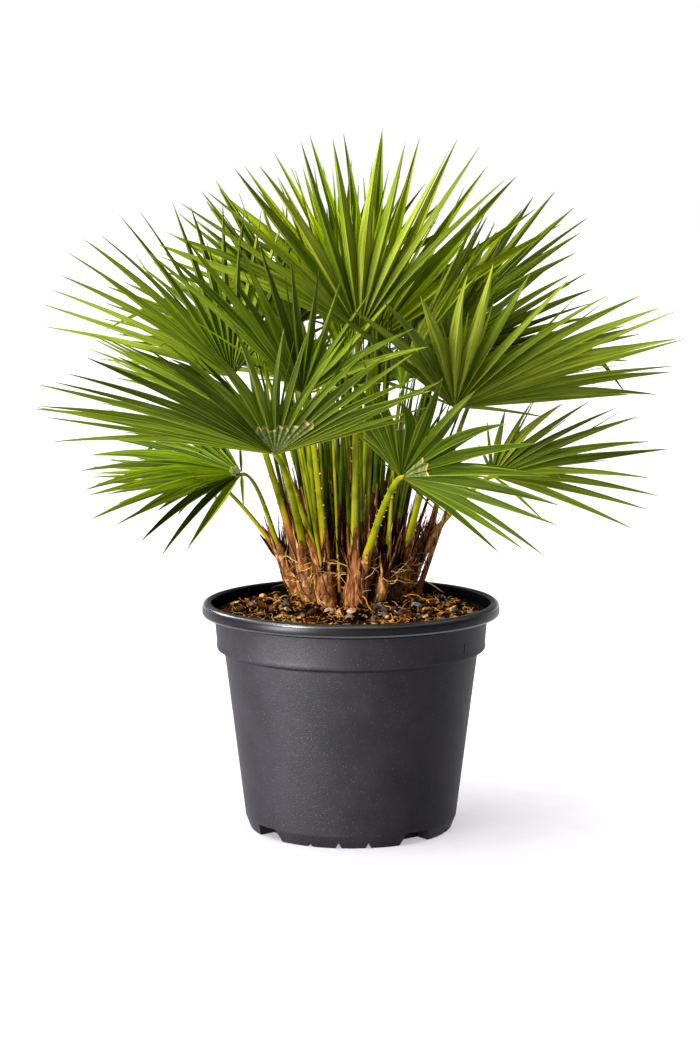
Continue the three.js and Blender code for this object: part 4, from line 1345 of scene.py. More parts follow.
class Fan:
    """The rule that every point of one leaf's blade follows, and the batch that gathers them."""

    def __init__(self, name, leaf, chance):
        self.name = name
        self.along, self.normal, self.across = aim_of(leaf)
        self.hub = Vector(leaf["hub"]) * MM
        self.longest = leaf["length"] * MM
        self.broad, self.taper = BROAD.get(name, USUAL_BROAD)
        self.fall = leaf["fall"]
        self.droop = leaf["droop"]
        self.count = round(leaf["leaflets"] * FINER.get(name, USUAL_FINER))
        low, high = (radians(f) for f in leaf["fan"])
        self.low = low
        self.half = (high - low) / self.count / 2
        self.cup = radians(leaf["cup"])
        self.shares = [SPLIT] + [chance.uniform(*PARTING) for _ in range(self.count - 1)] + [SPLIT]
        self.batch = Batch()
        self.ids = ({}, {})         # numbers of the web's points, upper side and underside
        self.greens = []

    def angle(self, k):
        """The middle angle of leaflet k."""
        return self.low + self.half * (2 * k + 1)

    def joint(self, k):
        """The angle between leaflets k - 1 and k."""
        return self.low + self.half * 2 * k

    def directions(self, angle):
        """The ways out along the fan and sideways at an angle."""
        return (self.along * cos(angle) + self.across * sin(angle),
                self.across * cos(angle) - self.along * sin(angle))

    def length(self, angle):
        """How long the fan is at an angle."""
        return self.longest * (1 - self.fall * (angle / FULL_FALL) ** 2)

    def split(self, k):
        """How far from the hub leaflets k - 1 and k part."""
        return self.shares[k] * self.length(self.joint(k))

    def half_width(self, out):
        """Half the width that a pleat takes up at a distance from the hub."""
        return out * cos(self.cup) * tan(self.half)

    def spot(self, angle, out, full, sideways=0.0, lift=0.0):
        """A point of the leaf at an angle and a distance, sunk by its length."""
        ahead, aside = self.directions(angle)
        place = self.hub + ahead * out * cos(self.cup) + aside * sideways
        place += self.normal * (out * sin(self.cup) + lift)
        return place - UP * (self.droop * out * out / full)

    def pleat(self, k, column, out):
        """A point of the pleated skin of leaflet k at a distance."""
        wide = self.half_width(out)
        angle = self.angle(k)
        full = self.length(angle + column * self.half)
        return self.spot(angle, out, full, column * wide, abs(column) * wide * tan(PLEAT))

    def web_points(self):
        """Adds the points of the joined part, upper side and underside of each leaflet in turn."""
        for k in range(self.count):
            for under, ids in enumerate(self.ids):
                for row in WEB_ROWS:
                    for column in COLUMNS:
                        key = web_key(k, row, column)
                        if key in ids:
                            continue
                        ends = [between(HUB_RADIUS, self.split(k + side), row) for side in (0, 1)]
                        out = between(*ends, (column + 1) / 2)
                        place = self.pleat(k, column, out)
                        if under:
                            place -= self.normal * THICKNESS[abs(column)]
                        ids[key] = self.batch.point(place, (2 * k + column) * VEINS, out)

    def web_line(self, under, k, row):
        """The numbers of the web's points across leaflet k at a row."""
        return [self.ids[under][web_key(k, row, column)] for column in COLUMNS]

    def free(self, k, how):
        """Rows of points of the free part of leaflet k, upper side and underside, and its tip."""
        angle = self.angle(k)
        full = self.length(angle)
        starts = (self.split(k), self.split(k + 1))
        middle = sum(starts) / 2
        reach = full * how["length"] - middle
        ahead, aside = self.directions(angle)
        tops, lows, places = [], [], []
        for t in (0.0,) + FREE_ROWS + (1.0,):
            turn = Matrix.Rotation(how["twist"] * t, 3, ahead)
            over, up = turn @ aside, turn @ self.normal
            slope = between(PLEAT, CLOSED, min(1.0, t * CLOSING) * how["close"])
            drift = aside * tan(how["curve"]) * t ** CURVE_POWER
            drift += self.normal * tan(how["tilt"]) * t ** TILT_POWER
            drift = (drift - UP * how["sag"] * t * t) * reach
            top, low = [], []
            for column in COLUMNS:
                begin = between(*starts, (column + 1) / 2)
                out = between(begin, middle + reach, t)
                wide = self.half_width(begin) / cos(PLEAT) * (1 - t ** self.taper)
                wide *= 1 + (self.broad - 1) * min(1.0, t * BROADENING)
                centre = self.spot(angle, out, between(self.length(angle + column * self.half), full, t))
                place = centre + over * column * wide * cos(slope)
                place += up * abs(column) * wide * sin(slope) + drift
                top.append(place)
                low.append(place - up * THICKNESS[abs(column)] * (1 - TIP_THIN * t))
            if t < 1:
                tops.append(top)
                lows.append(low)
                places.append(middle + reach * t)
        tip = top[MIDDLE]
        if how["kink"]:
            fold_over(tops, lows, tip, aside, how)
        return tops, lows, tip, places


def web_key(k, row, column):
    """Names a point of the web; the points on a joint belong to two leaflets."""
    return (k + (column > 0), row) if abs(column) == 1 else (k, row, column)


def fold_over(tops, lows, tip, hinge, how):
    """Breaks a leaflet downwards at one of its rows."""
    row = how["kink"]
    about = tops[row][MIDDLE].copy()
    turn = Matrix.Rotation(how["break"], 3, hinge)
    for line in tops[row + 1:] + lows[row + 1:] + [[tip]]:
        for spot in line:
            spot[:] = about + turn @ (spot - about)


# %% [markdown]
# No leaflet may run through another leaf, a stalk or a base. Each leaflet is laid as on the plain
# solid, with a small bend of its own. Where it would touch something, it is bent aside a little
# more in one of eight directions, then shortened, and at last left out. A narrow prism stands for
# the folded leaflet in these tests.

# %% Clearance
BOX_SPARE = 1.5 * MM
BENDS = (0, 3, 6, 9, 13, 17)
LENGTHS = (1.0, 0.9, 0.75, 0.55)
WAYS = 8


class Solid:
    """A thing that leaflets keep clear of: its owner, its box and its surface tree."""

    def __init__(self, owner, points, faces):
        self.owner = owner
        cloud = np.array(points)
        self.low, self.high = cloud.min(axis=0), cloud.max(axis=0)
        self.tree = BVHTree.FromPolygons([tuple(p) for p in points], [tuple(f) for f in faces])

    def meets(self, other):
        """Whether two things touch."""
        if (self.low > other.high).any() or (other.low > self.high).any():
            return False
        return bool(self.tree.overlap(other.tree))

    def in_box(self):
        """Whether the thing stays inside the plain solids' box."""
        low, high = (np.array(corner) for corner in CAD_BOX)
        return bool((self.low > low + BOX_SPARE).all() and (self.high < high - BOX_SPARE).all())


solids = []
for piece in bpy.data.objects:
    if piece.name.startswith(("bulb_", "leafstalk_")):
        owner = piece.name.replace("leafstalk_", "")
        mesh = piece.data
        solids.append(Solid(owner, [v.co for v in mesh.vertices], [f.vertices for f in mesh.polygons]))


def meets_any(thing, which):
    """Whether a thing touches a solid whose owner passes a test."""
    return any(thing.meets(s) for s in solids if which(s.owner))


def prism(owner, tops, lows, tip, start=0):
    """A leaflet's narrow prism from a row on: both margins and the keel."""
    points, faces = [], []
    for top, low in zip(tops[start:], lows[start:]):
        points += [top[0], top[-1], low[MIDDLE]]
    for a in range(0, len(points) - 3, 3):
        faces += [(a, a + 1, a + 4, a + 3), (a + 1, a + 2, a + 5, a + 4), (a + 2, a, a + 3, a + 5)]
    a = len(points) - 3
    points.append(tip)
    faces += [(a, a + 1, a + 3), (a + 1, a + 2, a + 3), (a + 2, a, a + 3)]
    return Solid(owner, points, faces)


def strip_solid(owner, grid):
    """The solid of a strip that is three points wide."""
    flat = [p for line in grid for p in line]
    faces = [(i, i + 1, i + 4, i + 3) for i in range(len(flat) - 4) if i % 3 < 2]
    return Solid(owner, flat, faces)


def ways(chance):
    """Bends to try: none, then more and more all round, then the same on a shorter leaflet."""
    for length in LENGTHS:
        for bend in BENDS:
            first = any_turn(chance)
            for way in range(WAYS if bend else 1):
                turn = first + FULL_TURN * way / WAYS
                tilt = radians(bend) * sin(turn)
                yield tilt, radians(bend) * 0.5 * cos(turn), length


def usual(chance):
    """A leaflet's own small bends."""
    return {
        "tilt": radians(chance.gauss(0, 2.2)), "curve": radians(chance.gauss(0, 1.5)),
        "twist": radians(chance.gauss(0, 16)), "sag": max(-0.015, chance.gauss(0.012, 0.02)),
        "length": chance.uniform(0.96, 1.035), "close": chance.uniform(0.3, 1.1), "kink": 0,
    }


# %% [markdown]
# The webs come first, for all the leaves, as every leaflet has to keep clear of them. A strip of
# faces between two columns has the leaflet's green, but the rib's finish in the middle and the
# edge's at the margins.

# %% Webs
def strip_look(plain, left, right):
    """The finish of a strip between two columns of a leaflet."""
    if plain >= TAN:
        return plain
    if max(abs(left), abs(right)) <= RIB_COLUMN:
        return RIB
    return EDGE if min(abs(left), abs(right)) >= EDGE_COLUMN else plain


def strip_faces(batch, upper, lower, next_upper, next_lower, looks):
    """The faces of a leaflet between two rows of point numbers."""
    for i, (left, right) in enumerate(zip(COLUMNS, COLUMNS[1:])):
        look = strip_look(looks[0], left, right)
        batch.face((upper[i], upper[i + 1], next_upper[i + 1], next_upper[i]), look)
        look = strip_look(looks[1], left, right)
        batch.face((lower[i], next_lower[i], next_lower[i + 1], lower[i + 1]), look)


leaf_chance = random.Random(29)
fans = [Fan(leaf_name, leaf, leaf_chance) for leaf_name, leaf in LEAVES.items()]
for fan in fans:
    fan.web_points()
    # the leaf's tone is painted light and shade as well as its own green
    tone_and_light = LEAF_TONES_AND_PAINTED_LIGHT.get(fan.name, USUAL_TONE_AND_PAINTED_LIGHT)
    for k in range(fan.count):
        green = min(BRIGHTEST, max(DARKEST, round(leaf_chance.gauss(tone_and_light, TONE_SPREAD))))
        fan.greens.append(green)
        for rows in zip(WEB_ROWS, WEB_ROWS[1:]):
            lines = [fan.web_line(under, k, row) for row in rows for under in (0, 1)]
            strip_faces(fan.batch, *lines, (green, green + UNDER_STEP))
        first_top, first_low = (fan.web_line(under, k, WEB_ROWS[0]) for under in (0, 1))
        fan.batch.face(first_low + first_top[::-1], RIB)
    tops, lows = fan.ids
    for row, following in zip(WEB_ROWS, WEB_ROWS[1:]):
        for joint, way in ((0, 1), (fan.count, -1)):
            near, far = (joint, row), (joint, following)
            fan.batch.face((tops[near], tops[far], lows[far], lows[near])[::way], EDGE)
    solids.append(Solid(fan.name, fan.batch.points, fan.batch.faces))
for i, one in enumerate(solids):
    for other in solids[i + 1:]:
        if one.owner != other.owner and not one.owner.startswith("bulb") and one.meets(other):
            print("touching:", one.owner, other.owner)

# %% [markdown]
# Then leaflet after leaflet is tried and kept. The outermost ones of some leaves rise or sink a
# little more, a few leaflets are broken and hang, and here and there the last stretch is dry.

# %% Leaflets
LIFTS = {"right": 2.5, "front_left": 4.0, "low_right": -1.5}     # degrees, for the outermost leaflets
KINKS = {
    # leaf and leaflet: the row that it breaks at, and how far it hangs in degrees
    ("low_left", 10): (5, -40), ("inner_left", 9): (5, 50),
    ("back_left", 4): (5, -45), ("side_right", 12): (4, -60),
}
DRY_FROM = (0.97, 0.97, 1, 1, 1, 1, 1, 1)   # where a leaflet turns tan, each as likely


def find_place(fan, k, own):
    """The first bend and length at which leaflet k is free: its rows, solids, and how it was bent."""
    near = f"{fan.name} {k - 1}"
    for tilt, curve, length in ways(leaf_chance):
        how = dict(own, length=own["length"] * length)
        how["tilt"] += tilt
        how["curve"] += curve
        rows = fan.free(k, how)
        whole = prism(f"{fan.name} whole {k}", *rows[:3])
        late = prism(f"{fan.name} {k}", *rows[:3], 2)
        met = meets_any(whole, lambda owner: owner.split()[0] != fan.name)
        if whole.in_box() and not met and not meets_any(late, lambda owner: owner == near):
            return rows, whole, late, bool(tilt or curve), length < 1
    return None


bent, shortened, left_out = 0, 0, 0
for fan in fans:
    batch = fan.batch
    for k in range(fan.count):
        own = usual(leaf_chance)
        outward = abs(fan.angle(k)) / max(abs(fan.low), abs(fan.angle(fan.count)))
        own["tilt"] += radians(LIFTS.get(fan.name, 0.0)) * outward ** 3
        if (fan.name, k) in KINKS:
            own["kink"], hang = KINKS[(fan.name, k)]
            own["break"] = radians(hang)
        found = find_place(fan, k, own)
        upper, lower = (fan.web_line(under, k, WEB_ROWS[-1]) for under in (0, 1))
        if not found:
            batch.face(upper + lower[::-1], BROWN)
            left_out += 1
            continue
        (free_tops, free_lows, tip, places), whole, late, was_bent, was_short = found
        bent += was_bent
        shortened += was_short
        solids += [late, whole]
        dry_from = leaf_chance.choice(DRY_FROM)
        looks = (fan.greens[k], fan.greens[k] + UNDER_STEP)
        edge = EDGE
        for i, share in enumerate(FREE_ROWS, start=1):
            next_upper, next_lower = (
                [batch.point(p, (2 * k + c) * VEINS, places[i]) for p, c in zip(rows[i], COLUMNS)]
                for rows in (free_tops, free_lows))
            if share >= dry_from:
                looks, edge = (TAN, TAN), TAN
            strip_faces(batch, upper, lower, next_upper, next_lower, looks)
            batch.face((upper[0], next_upper[0], next_lower[0], lower[0]), edge)
            batch.face((upper[-1], lower[-1], next_lower[-1], next_upper[-1]), edge)
            upper, lower = next_upper, next_lower
        end = batch.point(tip, 2 * k * VEINS, places[-1])
        pairs = list(zip(upper, upper[1:])) + list(zip(lower[1:], lower))
        for a, b in pairs + [(lower[0], upper[0]), (upper[-1], lower[-1])]:
            batch.face((a, b, end), BROWN)
print("bent aside:", bent, "shortened:", shortened, "left out:", left_out)

# %% [markdown]
# Where two leaflets part, a narrow sliver often stands between them, torn off one of their edges,
# and sometimes dry. Each starts at the split and is left out where it would touch another leaf.

# %% Slivers
SLIVER_CHANCE = 0.6
SLIVER_ROWS = 7
SLIVER_REACH = (0.2, 0.5)   # against the fan's length
SLIVER_WIDE = (0.8, 2.6)    # in mm
SLIVER_LEAN, SLIVER_LIFT = (0, 3.5), (4, 5)     # mean and spread, in degrees
slivers = 0
for fan in fans:
    for joint in range(1, fan.count):
        if leaf_chance.random() > SLIVER_CHANCE:
            continue
        angle = fan.joint(joint)
        full = fan.length(angle)
        start = fan.split(joint)
        reach = full * leaf_chance.uniform(*SLIVER_REACH)
        wide = size_in(leaf_chance, *SLIVER_WIDE)
        lean = radians(leaf_chance.gauss(*SLIVER_LEAN))
        lift = radians(leaf_chance.gauss(*SLIVER_LIFT))
        ridge = fan.half_width(start) * tan(PLEAT)
        aside = fan.directions(angle)[1]
        grid = []
        for t in steps(SLIVER_ROWS):
            here = wide * (1 - t) ** 0.8 + 0.12 * MM
            out = start - 3 * MM + reach * t
            centre = fan.spot(angle, out, full, reach * tan(lean) * t ** 1.5, ridge)
            centre += fan.normal * (reach * tan(lift) * t ** 1.4 - 0.4 * MM)
            grid.append([centre - aside * here, centre - fan.normal * here * 0.5, centre + aside * here])
        trial = strip_solid(f"{fan.name} sliver {joint}", grid[1:])
        if trial.in_box() and not meets_any(trial, lambda owner: owner.split()[0] != fan.name):
            dry_share = 1 if reach < 60 * MM else 0
            look = (fan.greens[joint], EDGE, TAN)[pick(leaf_chance, 7, 2, dry_share)]
            fan.batch.sheet(grid, 0.35 * MM, look)
            slivers += 1
print("slivers:", slivers)

# %% [markdown]
# At both ends of a fan stand a few narrow leaflets that are free down to the hub. They are left out
# where they would touch anything, the leaf's own stalk included. With them the blades are complete.

# %% Outer leaflets
OUTER_EACH = 2
OUTER_ROWS = 10
OUTER_REACH = (0.6, 0.82)   # of the first one against the fan's length
OUTER_LOSS = 0.14           # how much less each further one has
OUTER_WIDE = (0.02, 0.032)  # half width against its own length
OUTER_LIFT = (3, 4)         # mean and spread, in degrees
outer = 0
for fan in fans:
    for end, edge, green in ((-1, fan.low, fan.greens[0]), (1, fan.joint(fan.count), fan.greens[-1])):
        for number in range(OUTER_EACH):
            angle = edge + end * fan.half * 2 * (number + leaf_chance.uniform(0.3, 0.7))
            full = fan.length(edge)
            reach = full * (leaf_chance.uniform(*OUTER_REACH) - OUTER_LOSS * number)
            wide = reach * leaf_chance.uniform(*OUTER_WIDE)
            lift = radians(leaf_chance.gauss(*OUTER_LIFT))
            aside = fan.directions(angle)[1]
            grid = []
            for t in steps(OUTER_ROWS):
                here = wide * min(1.0, 0.2 + t / 0.3) * (1 - t ** 1.7) + 0.15 * MM
                centre = fan.spot(angle, between(HUB_RADIUS, reach, t), full)
                centre += fan.normal * (reach * tan(lift) * t ** 1.4)
                fold = fan.normal * here * 0.9
                grid.append([centre - aside * here + fold, centre, centre + aside * here + fold])
            trial = strip_solid(f"{fan.name} outer", grid[2:])
            if trial.in_box() and not meets_any(trial, lambda owner: True):
                fan.batch.sheet(grid, 0.4 * MM, green)
                solids.append(trial)
                outer += 1
print("outer leaflets:", outer)

for fan in fans:
    used = sorted(set(fan.batch.looks))
    fan.batch.looks = [used.index(look) for look in fan.batch.looks]
    piece = fan.batch.piece(f"fan_{fan.name}")
    finish_piece(piece, 28, [LEAF_FINISHES[look] for look in used], "blade", f"blade_{fan.name}")

# %% [markdown]
# Round the hub the leaflets start under a small scalloped crown. It is clearest on the large leaf in
# front, where a dull patch with a thin pale rim covers the first pleats of one side. Each scallop is
# a thin skin that follows its own pleats a hair off them. Thin brown threads hang where leaflets
# have torn apart.

# %% Leaf crowns and threads
CROWNS = {
    # middle and half width in degrees of the fan, and how far the crown reaches from the hub in mm
    "front_left": (-31, 29, 70), "front_right": (-8, 16, 46), "low_left": (0, 180, 12),
}
USUAL_CROWN = (0, 180, 6)
CROWN_ROWS = (0.0, 0.25, 0.5, 0.75, 0.93, 1.0)
CROWN_COLUMNS = (-0.96, -0.5, 0, 0.5, 0.96)
CROWN_LIFT = 0.7 * MM
SCALLOP = 3                 # leaflets that share one scallop
SCALLOP_UNEVEN = (0.88, 1.08)
THREAD_CHANCE = 0.3
THREAD_LENGTH = (8, 26)     # in mm
THREAD_RADIUS = 0.28 * MM
CROWN_FINISHES = [
    mottled("crown_green", [(56, 66, 22), (84, 94, 44), (112, 118, 70)], 0.004, 0.6),
    mottled("crown_rim", [(100, 100, 44), (158, 152, 90)], 0.003, 0.7),
]
crowns = Batch()
threads = Batch()
for fan in fans:
    centre, spread, reach = CROWNS.get(fan.name, USUAL_CROWN)
    for side, off in ((1, CROWN_LIFT), (-1, THICKNESS[0] + CROWN_LIFT * 0.6)):
        for k in range(fan.count):
            if k % SCALLOP == 0:
                tall = reach * MM * leaf_chance.uniform(*SCALLOP_UNEVEN)
            if abs(math.degrees(fan.angle(k)) - centre) > spread:
                continue
            grid = []
            for row in CROWN_ROWS:
                line = []
                for column in CROWN_COLUMNS[::side]:
                    along = (k % SCALLOP + (column + 1) / 2) / SCALLOP * 2 - 1
                    arch = 1 - 0.2 * along * along
                    out = between(HUB_RADIUS * 0.6, tall * arch, row)
                    line.append(fan.pleat(k, column, out) + fan.normal * off * side)
                grid.append(line)
            crowns.sheet(grid[:-1], 0.25 * MM, 0)
            crowns.sheet(grid[-2:], 0.3 * MM, 1)
    for joint in range(1, fan.count):
        if leaf_chance.random() < THREAD_CHANCE:
            angle = fan.joint(joint)
            start = fan.spot(angle, fan.split(joint), fan.length(angle))
            start += fan.normal * (fan.half_width(fan.split(joint)) * tan(PLEAT))
            heading = fan.directions(angle)[0] + fan.normal * 0.2
            length = size_in(leaf_chance, *THREAD_LENGTH)
            line = curl(leaf_chance, start, heading, length, 0.22, weight=0.05)
            threads.thread(line, THREAD_RADIUS, leaf_chance.choice((0, 1)))
crowns.finish("leaf_crowns", 40, CROWN_FINISHES, "blade")
threads.finish("leaf_threads", 0, FIBRES[1:], "blade")

# %% [markdown]
# Between the live stalks stand the remains of old leaves: flat pointed pieces of sheath, and fibres.
# The pieces are tan outside and painted darker the further inside the clump they stand, as shade.
# Short ones grow on the bulbs. Tall ones stand in the clump, each tried again and again until it
# clears the stalks and the leaves. They fill the clump's middle and, with the fibres, are mostly the
# dark husk, painted shade, so that it looks dense and dark from every side.

# %% Old sheaths
SPIKE_COUNT, TALL_COUNT, DARK_FIBRES = 460, 190, 420
TALL_TRIES = 14
SHEATH_STEPS = 7
SHORT_LENGTH, SHORT_WIDE = (14, 52), (0.5, 1.6)     # in mm, as the next two rows
TALL_LENGTH, TALL_WIDE = (66, 150), (1.3, 3.4)
DARK_LENGTH, DARK_RADIUS = (60, 110), (0.5, 1.0)
SHORT_BOW, TALL_BOW = (-0.06, 0.16), 0.04
ON_BULB, SPIKE_LOW = 228 * MM, 250 * MM     # lowest places of fibres and of short sheaths on a bulb
TALL_STAND, DARK_STAND = (0.7, 236), (0.62, 226)        # share of the clump that they fill, and height
SHORT_LEAN, TALL_LEAN, DARK_LEAN = 2.6, 3.4, 4          # outwards, by the distance from its middle
SHORT = {"taper": 1.5, "ragged": (0.25, 6, 0), "least": 0.15 * MM, "arch": 0.45, "wander": 0.05}
TALL = {"taper": 2.2, "ragged": (0.3, 5, 7), "least": 0.2 * MM, "arch": 0.5, "wander": 0}


def in_clump(chance, share, level):
    """A random turn, a way out of the clump's middle at that turn, and the place there."""
    turn = any_turn(chance)
    away = flat_way(turn) * CLUMP_RADIUS * share * math.sqrt(chance.random())
    return turn, away, CLUMP + away + UP * level * MM


def sway(chance, amount):
    """A small random level push."""
    return Vector((chance.gauss(0, amount), chance.gauss(0, amount), 0))


def on_bulb(chance, spare, low=ON_BULB):
    """A random place on a leaf base, and the way out of it there."""
    stem = chance.choice(list(STEMS.values()))
    height = between(low, stem["top"][2] * MM, chance.random() ** 0.6)
    across, through = own_directions(stem)
    wide, deep = girth(stem, height)
    turn = any_turn(chance)
    out = across * cos(turn) * (wide + spare) + through * sin(turn) * (deep + spare)
    return axis_at(stem, height) + out, out.normalized()


def old_sheath(number, start, heading, out, length, wide, bow, taper, ragged, least, arch, wander):
    """A grid three points wide for a pointed scrap of sheath that is arched and bowed outwards."""
    aside = heading.cross(out).normalized()
    front = aside.cross(heading)
    amount, pace, seed = ragged
    grid = []
    for t in steps(SHEATH_STEPS):
        torn = 1 + amount * rough(number, t * pace, seed)
        here = wide * (1 - t ** taper) * torn + least
        centre = start + heading * length * t + front * length * bow * t * t
        centre += aside * length * wander * rough(number * 1.7, t * 3, 4)
        grid.append([centre + aside * here, centre + front * here * arch, centre - aside * here])
    return grid


def clears_leaves(body):
    """Whether a thing clears the stalks, the leaves and what has been kept among them."""
    return not meets_any(body, lambda owner: not owner.startswith("bulb"))


old = Batch()
for number in range(SPIKE_COUNT):
    start, out = on_bulb(chance, 0.1 * MM, SPIKE_LOW)
    away = Vector((start.x, start.y, 0)) - Vector((CLUMP.x, CLUMP.y, 0))
    inner = 1 - min(1.0, away.length / CLUMP_RADIUS)
    heading = (UP + out * 0.12 + away * SHORT_LEAN + sway(chance, 0.1)).normalized()
    length = size_in(chance, *SHORT_LENGTH) * (1 + 0.8 * inner)
    wide = size_in(chance, *SHORT_WIDE)
    bow = chance.uniform(*SHORT_BOW)
    grid = old_sheath(number, start, heading, out, length, wide, bow, **SHORT)
    # the further inside the clump, the likelier the dark husk: painted shade
    old.sheet(grid, 0.3 * MM, pick(chance, 5, 1, 3 + 8 * inner))
tall_kept = 0
for number in range(TALL_COUNT):
    for _ in range(TALL_TRIES):
        turn, away, start = in_clump(chance, *TALL_STAND)
        heading = (UP + away * TALL_LEAN + sway(chance, 0.07)).normalized()
        length = size_in(chance, *TALL_LENGTH) * (1.25 - away.length / CLUMP_RADIUS * 0.6)
        wide = size_in(chance, *TALL_WIDE)
        facing = Vector((cos(turn + chance.gauss(0, 0.5)), sin(turn), 0)).normalized()
        grid = old_sheath(number, start, heading, facing, length, wide, TALL_BOW, **TALL)
        if clears_leaves(strip_solid("sheath", grid[2:])):
            # mostly the dark husk: painted shade in the clump's middle
            old.sheet(grid, 0.4 * MM, pick(chance, 4, 2, 7))
            tall_kept += 1
            break
print("tall old sheaths:", tall_kept)
for _ in range(DARK_FIBRES):
    _, away, start = in_clump(chance, *DARK_STAND)
    line = curl(chance, start, UP + away * DARK_LEAN, size_in(chance, *DARK_LENGTH), 0.07)
    # the dark husk: painted shade in the clump's middle
    old.thread(line, size_in(chance, *DARK_RADIUS), 2)
old.finish("old_sheaths", 50, HUSKS, "stem")

# %% [markdown]
# A few thick dry stubs stand among them, torn at the top, mostly in the dark husk as painted shade.
# They, the dead stalk and the young spears are all tubes of level rings, so one helper makes the
# rings for a line of points.

# %% Stubs
STUB_COUNT = 26
STUB_STEPS = 7
STUB_SIDES = 8
STUB_STAND, STUB_LEAN = (0.72, 226), 3.6
STUB_LENGTH, STUB_WIDE, STUB_TORN = (46, 92), (3.2, 5.4), (-5, 4)      # in mm


def level_rings(line, sides, size_of, flatness=1.0):
    """Level rings round the points of a line, each size by its share of the line and its side."""
    rings = []
    for centre, t in zip(line, steps(len(line) - 1)):
        sizes = [size_of(t, j) for j in range(sides)]
        rings.append([centre + flat_way(turn, size, size * flatness)
                      for turn, size in zip(circle(sides), sizes)])
    return rings


stubs = Batch()
for number in range(STUB_COUNT):
    _, away, foot = in_clump(chance, *STUB_STAND)
    lean = (UP + away * STUB_LEAN).normalized()
    length = size_in(chance, *STUB_LENGTH)
    wide = size_in(chance, *STUB_WIDE)

    def stub_size(t, j):
        """A rough half width that shrinks to the top."""
        return wide * (1 - 0.45 * t) * (1 + 0.18 * rough(number, j * 1.3, t * 5))

    line = [foot + lean * length * t + UP * 6 * MM * t * t for t in steps(STUB_STEPS)]
    rings = level_rings(line, STUB_SIDES, stub_size, 0.7)
    rings[-1] = [spot + UP * chance.uniform(*STUB_TORN) * MM for spot in rings[-1]]
    # mostly the dark husk: painted shade in the clump
    stubs.tube(rings, pick(chance, 2, 1, 6))
stubs.finish("old_stubs", 50, HUSKS, "stem")

# %% [markdown]
# Wiry fibres curl off the bulbs, and thicker roots run out of their feet. Both rest on the mix
# where they would sink into it.

# %% Fibres of the bulbs
BULB_FIBRES = 320
WIRE_LENGTH, WIRE_RADIUS = (9, 34), (0.3, 0.58)     # in mm, as the roots'
ROOTS = 40
ROOT_LENGTH, ROOT_RADIUS, ROOT_HEIGHT = (20, 56), (0.55, 0.95), (229, 242)
ROOT_SIDES = 5
wires = Batch()
for _ in range(BULB_FIBRES):
    start, out = on_bulb(chance, 0.2 * MM)
    heading = out + UP * chance.uniform(-0.1, 1.3) + sway(chance, 0.4)
    line = curl(chance, start, heading, size_in(chance, *WIRE_LENGTH), 0.32, steps=7, weight=0.05)
    rest_on_mix(line, 0.6 * MM)
    wires.thread(line, size_in(chance, *WIRE_RADIUS), pick(chance, 1, 3, 5))
for _ in range(ROOTS):
    stem = chance.choice(list(STEMS.values()))
    out = flat_way(any_turn(chance))
    start = Vector((*stem["foot"], 0)) * MM + out * stem["radius"] * 1.05 * MM
    start += UP * chance.uniform(*ROOT_HEIGHT) * MM
    line = curl(chance, start, out + UP * 0.1, size_in(chance, *ROOT_LENGTH), 0.3, steps=9, weight=0.16)
    rest_on_mix(line, 1.0 * MM)
    wires.thread(line, size_in(chance, *ROOT_RADIUS), pick(chance, 3, 2, 4), ROOT_SIDES)
wires.finish("bulb_fibres", 60, FIBRES, "stem")

# %% [markdown]
# The dead stalk leans out at the right, brown and shrunken.

# %% Dry stalk
DRY_FOOT = Vector((66, 54, 222)) * MM
DRY_TOP = Vector((98, 44, 317.6)) * MM
DRY_WIDE = (4.0, 2.1)
DRY_STEPS = 12
DRY_SIDES = 9


def dry_size(t, j):
    """A half width that shrinks to the top, with dents."""
    dent = 0.92 + 0.14 * rough(j * 1.1, t * 9, 2)
    return between(*DRY_WIDE, t) * MM * dent


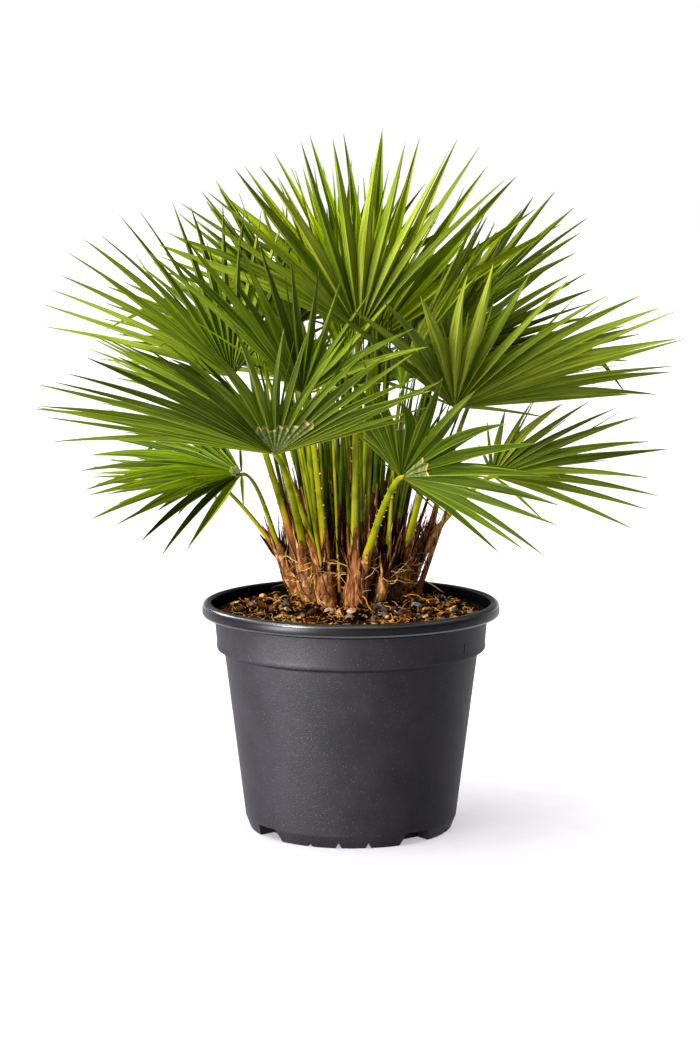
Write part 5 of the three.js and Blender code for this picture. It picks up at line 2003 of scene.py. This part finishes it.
line = [DRY_FOOT.lerp(DRY_TOP, t) for t in steps(DRY_STEPS)]
dry = Batch()
dry.tube(level_rings(line, DRY_SIDES, dry_size), 0)
finish_piece(dry.piece("dead_stalk"), 50, HUSKS[:1], "dry_stalk", "dry_stalk")

# %% [markdown]
# Young leaves stand among the live stalks as thin closed spears, each kept only where it clears
# the stalks and the leaves. Half of the tries are for long ones and the rest for shorter ones.
# Some have the stalks' skin, and some are painted dark green with the dark husk round the foot,
# as shade in the clump's middle.

# %% Young spears
SPEAR_COUNT = 90
SPEAR_TRIES = 36
SPEAR_RINGS = 12
SPEAR_SIDES = 8
HUSK_RINGS = 4              # rings at the foot that have the husk's finish
FREE_FROM = 3               # the ring from which a spear has to clear the rest
LONG, SHORTER, SPEAR_WIDE = (190, 330), (90, 200), (1.4, 2.7)     # in mm
SPEAR_STAND, SPEAR_LEAN = (0.8, 238), (1.0, 4.5)
spears = Batch()
kept = 0
for _ in range(SPEAR_COUNT):
    for attempt in range(SPEAR_TRIES):
        _, away, start = in_clump(chance, *SPEAR_STAND)
        heading = (UP + away * chance.uniform(*SPEAR_LEAN) + sway(chance, 0.06)).normalized()
        length = size_in(chance, *(LONG if attempt < SPEAR_TRIES / 2 else SHORTER))
        wide = size_in(chance, *SPEAR_WIDE)
        line = [start + heading * length * i / SPEAR_RINGS + away * 0.25 * t ** 2
                for i, t in enumerate(steps(SPEAR_RINGS))]
        rings = level_rings(line, SPEAR_SIDES, lambda t, j: wide * (1 - 0.9 * t ** 3), 0.75)
        trial = Batch()
        trial.tube(rings[FREE_FROM:], 0)
        body = Solid("spear", trial.points, trial.faces)
        if clears_leaves(body):
            # look 1 is the dark leaf green, with the dark husk on its foot rings: both painted shade in
            # the clump's middle
            look = pick(chance, 2, 3)
            alongs = [(spot - start).length + 5 * MM for spot in line]
            spears.tube(rings, lambda i: 2 if look and i < HUSK_RINGS else look, alongs)
            solids.append(body)
            kept += 1
            break
print("spears:", kept)
piece = spears.piece("young_spears")
keep_rise(piece, spears)
finish_piece(piece, 50, [STALK_SKIN, LEAF_FINISHES[DARKEST], HUSKS[2]], "stalk")
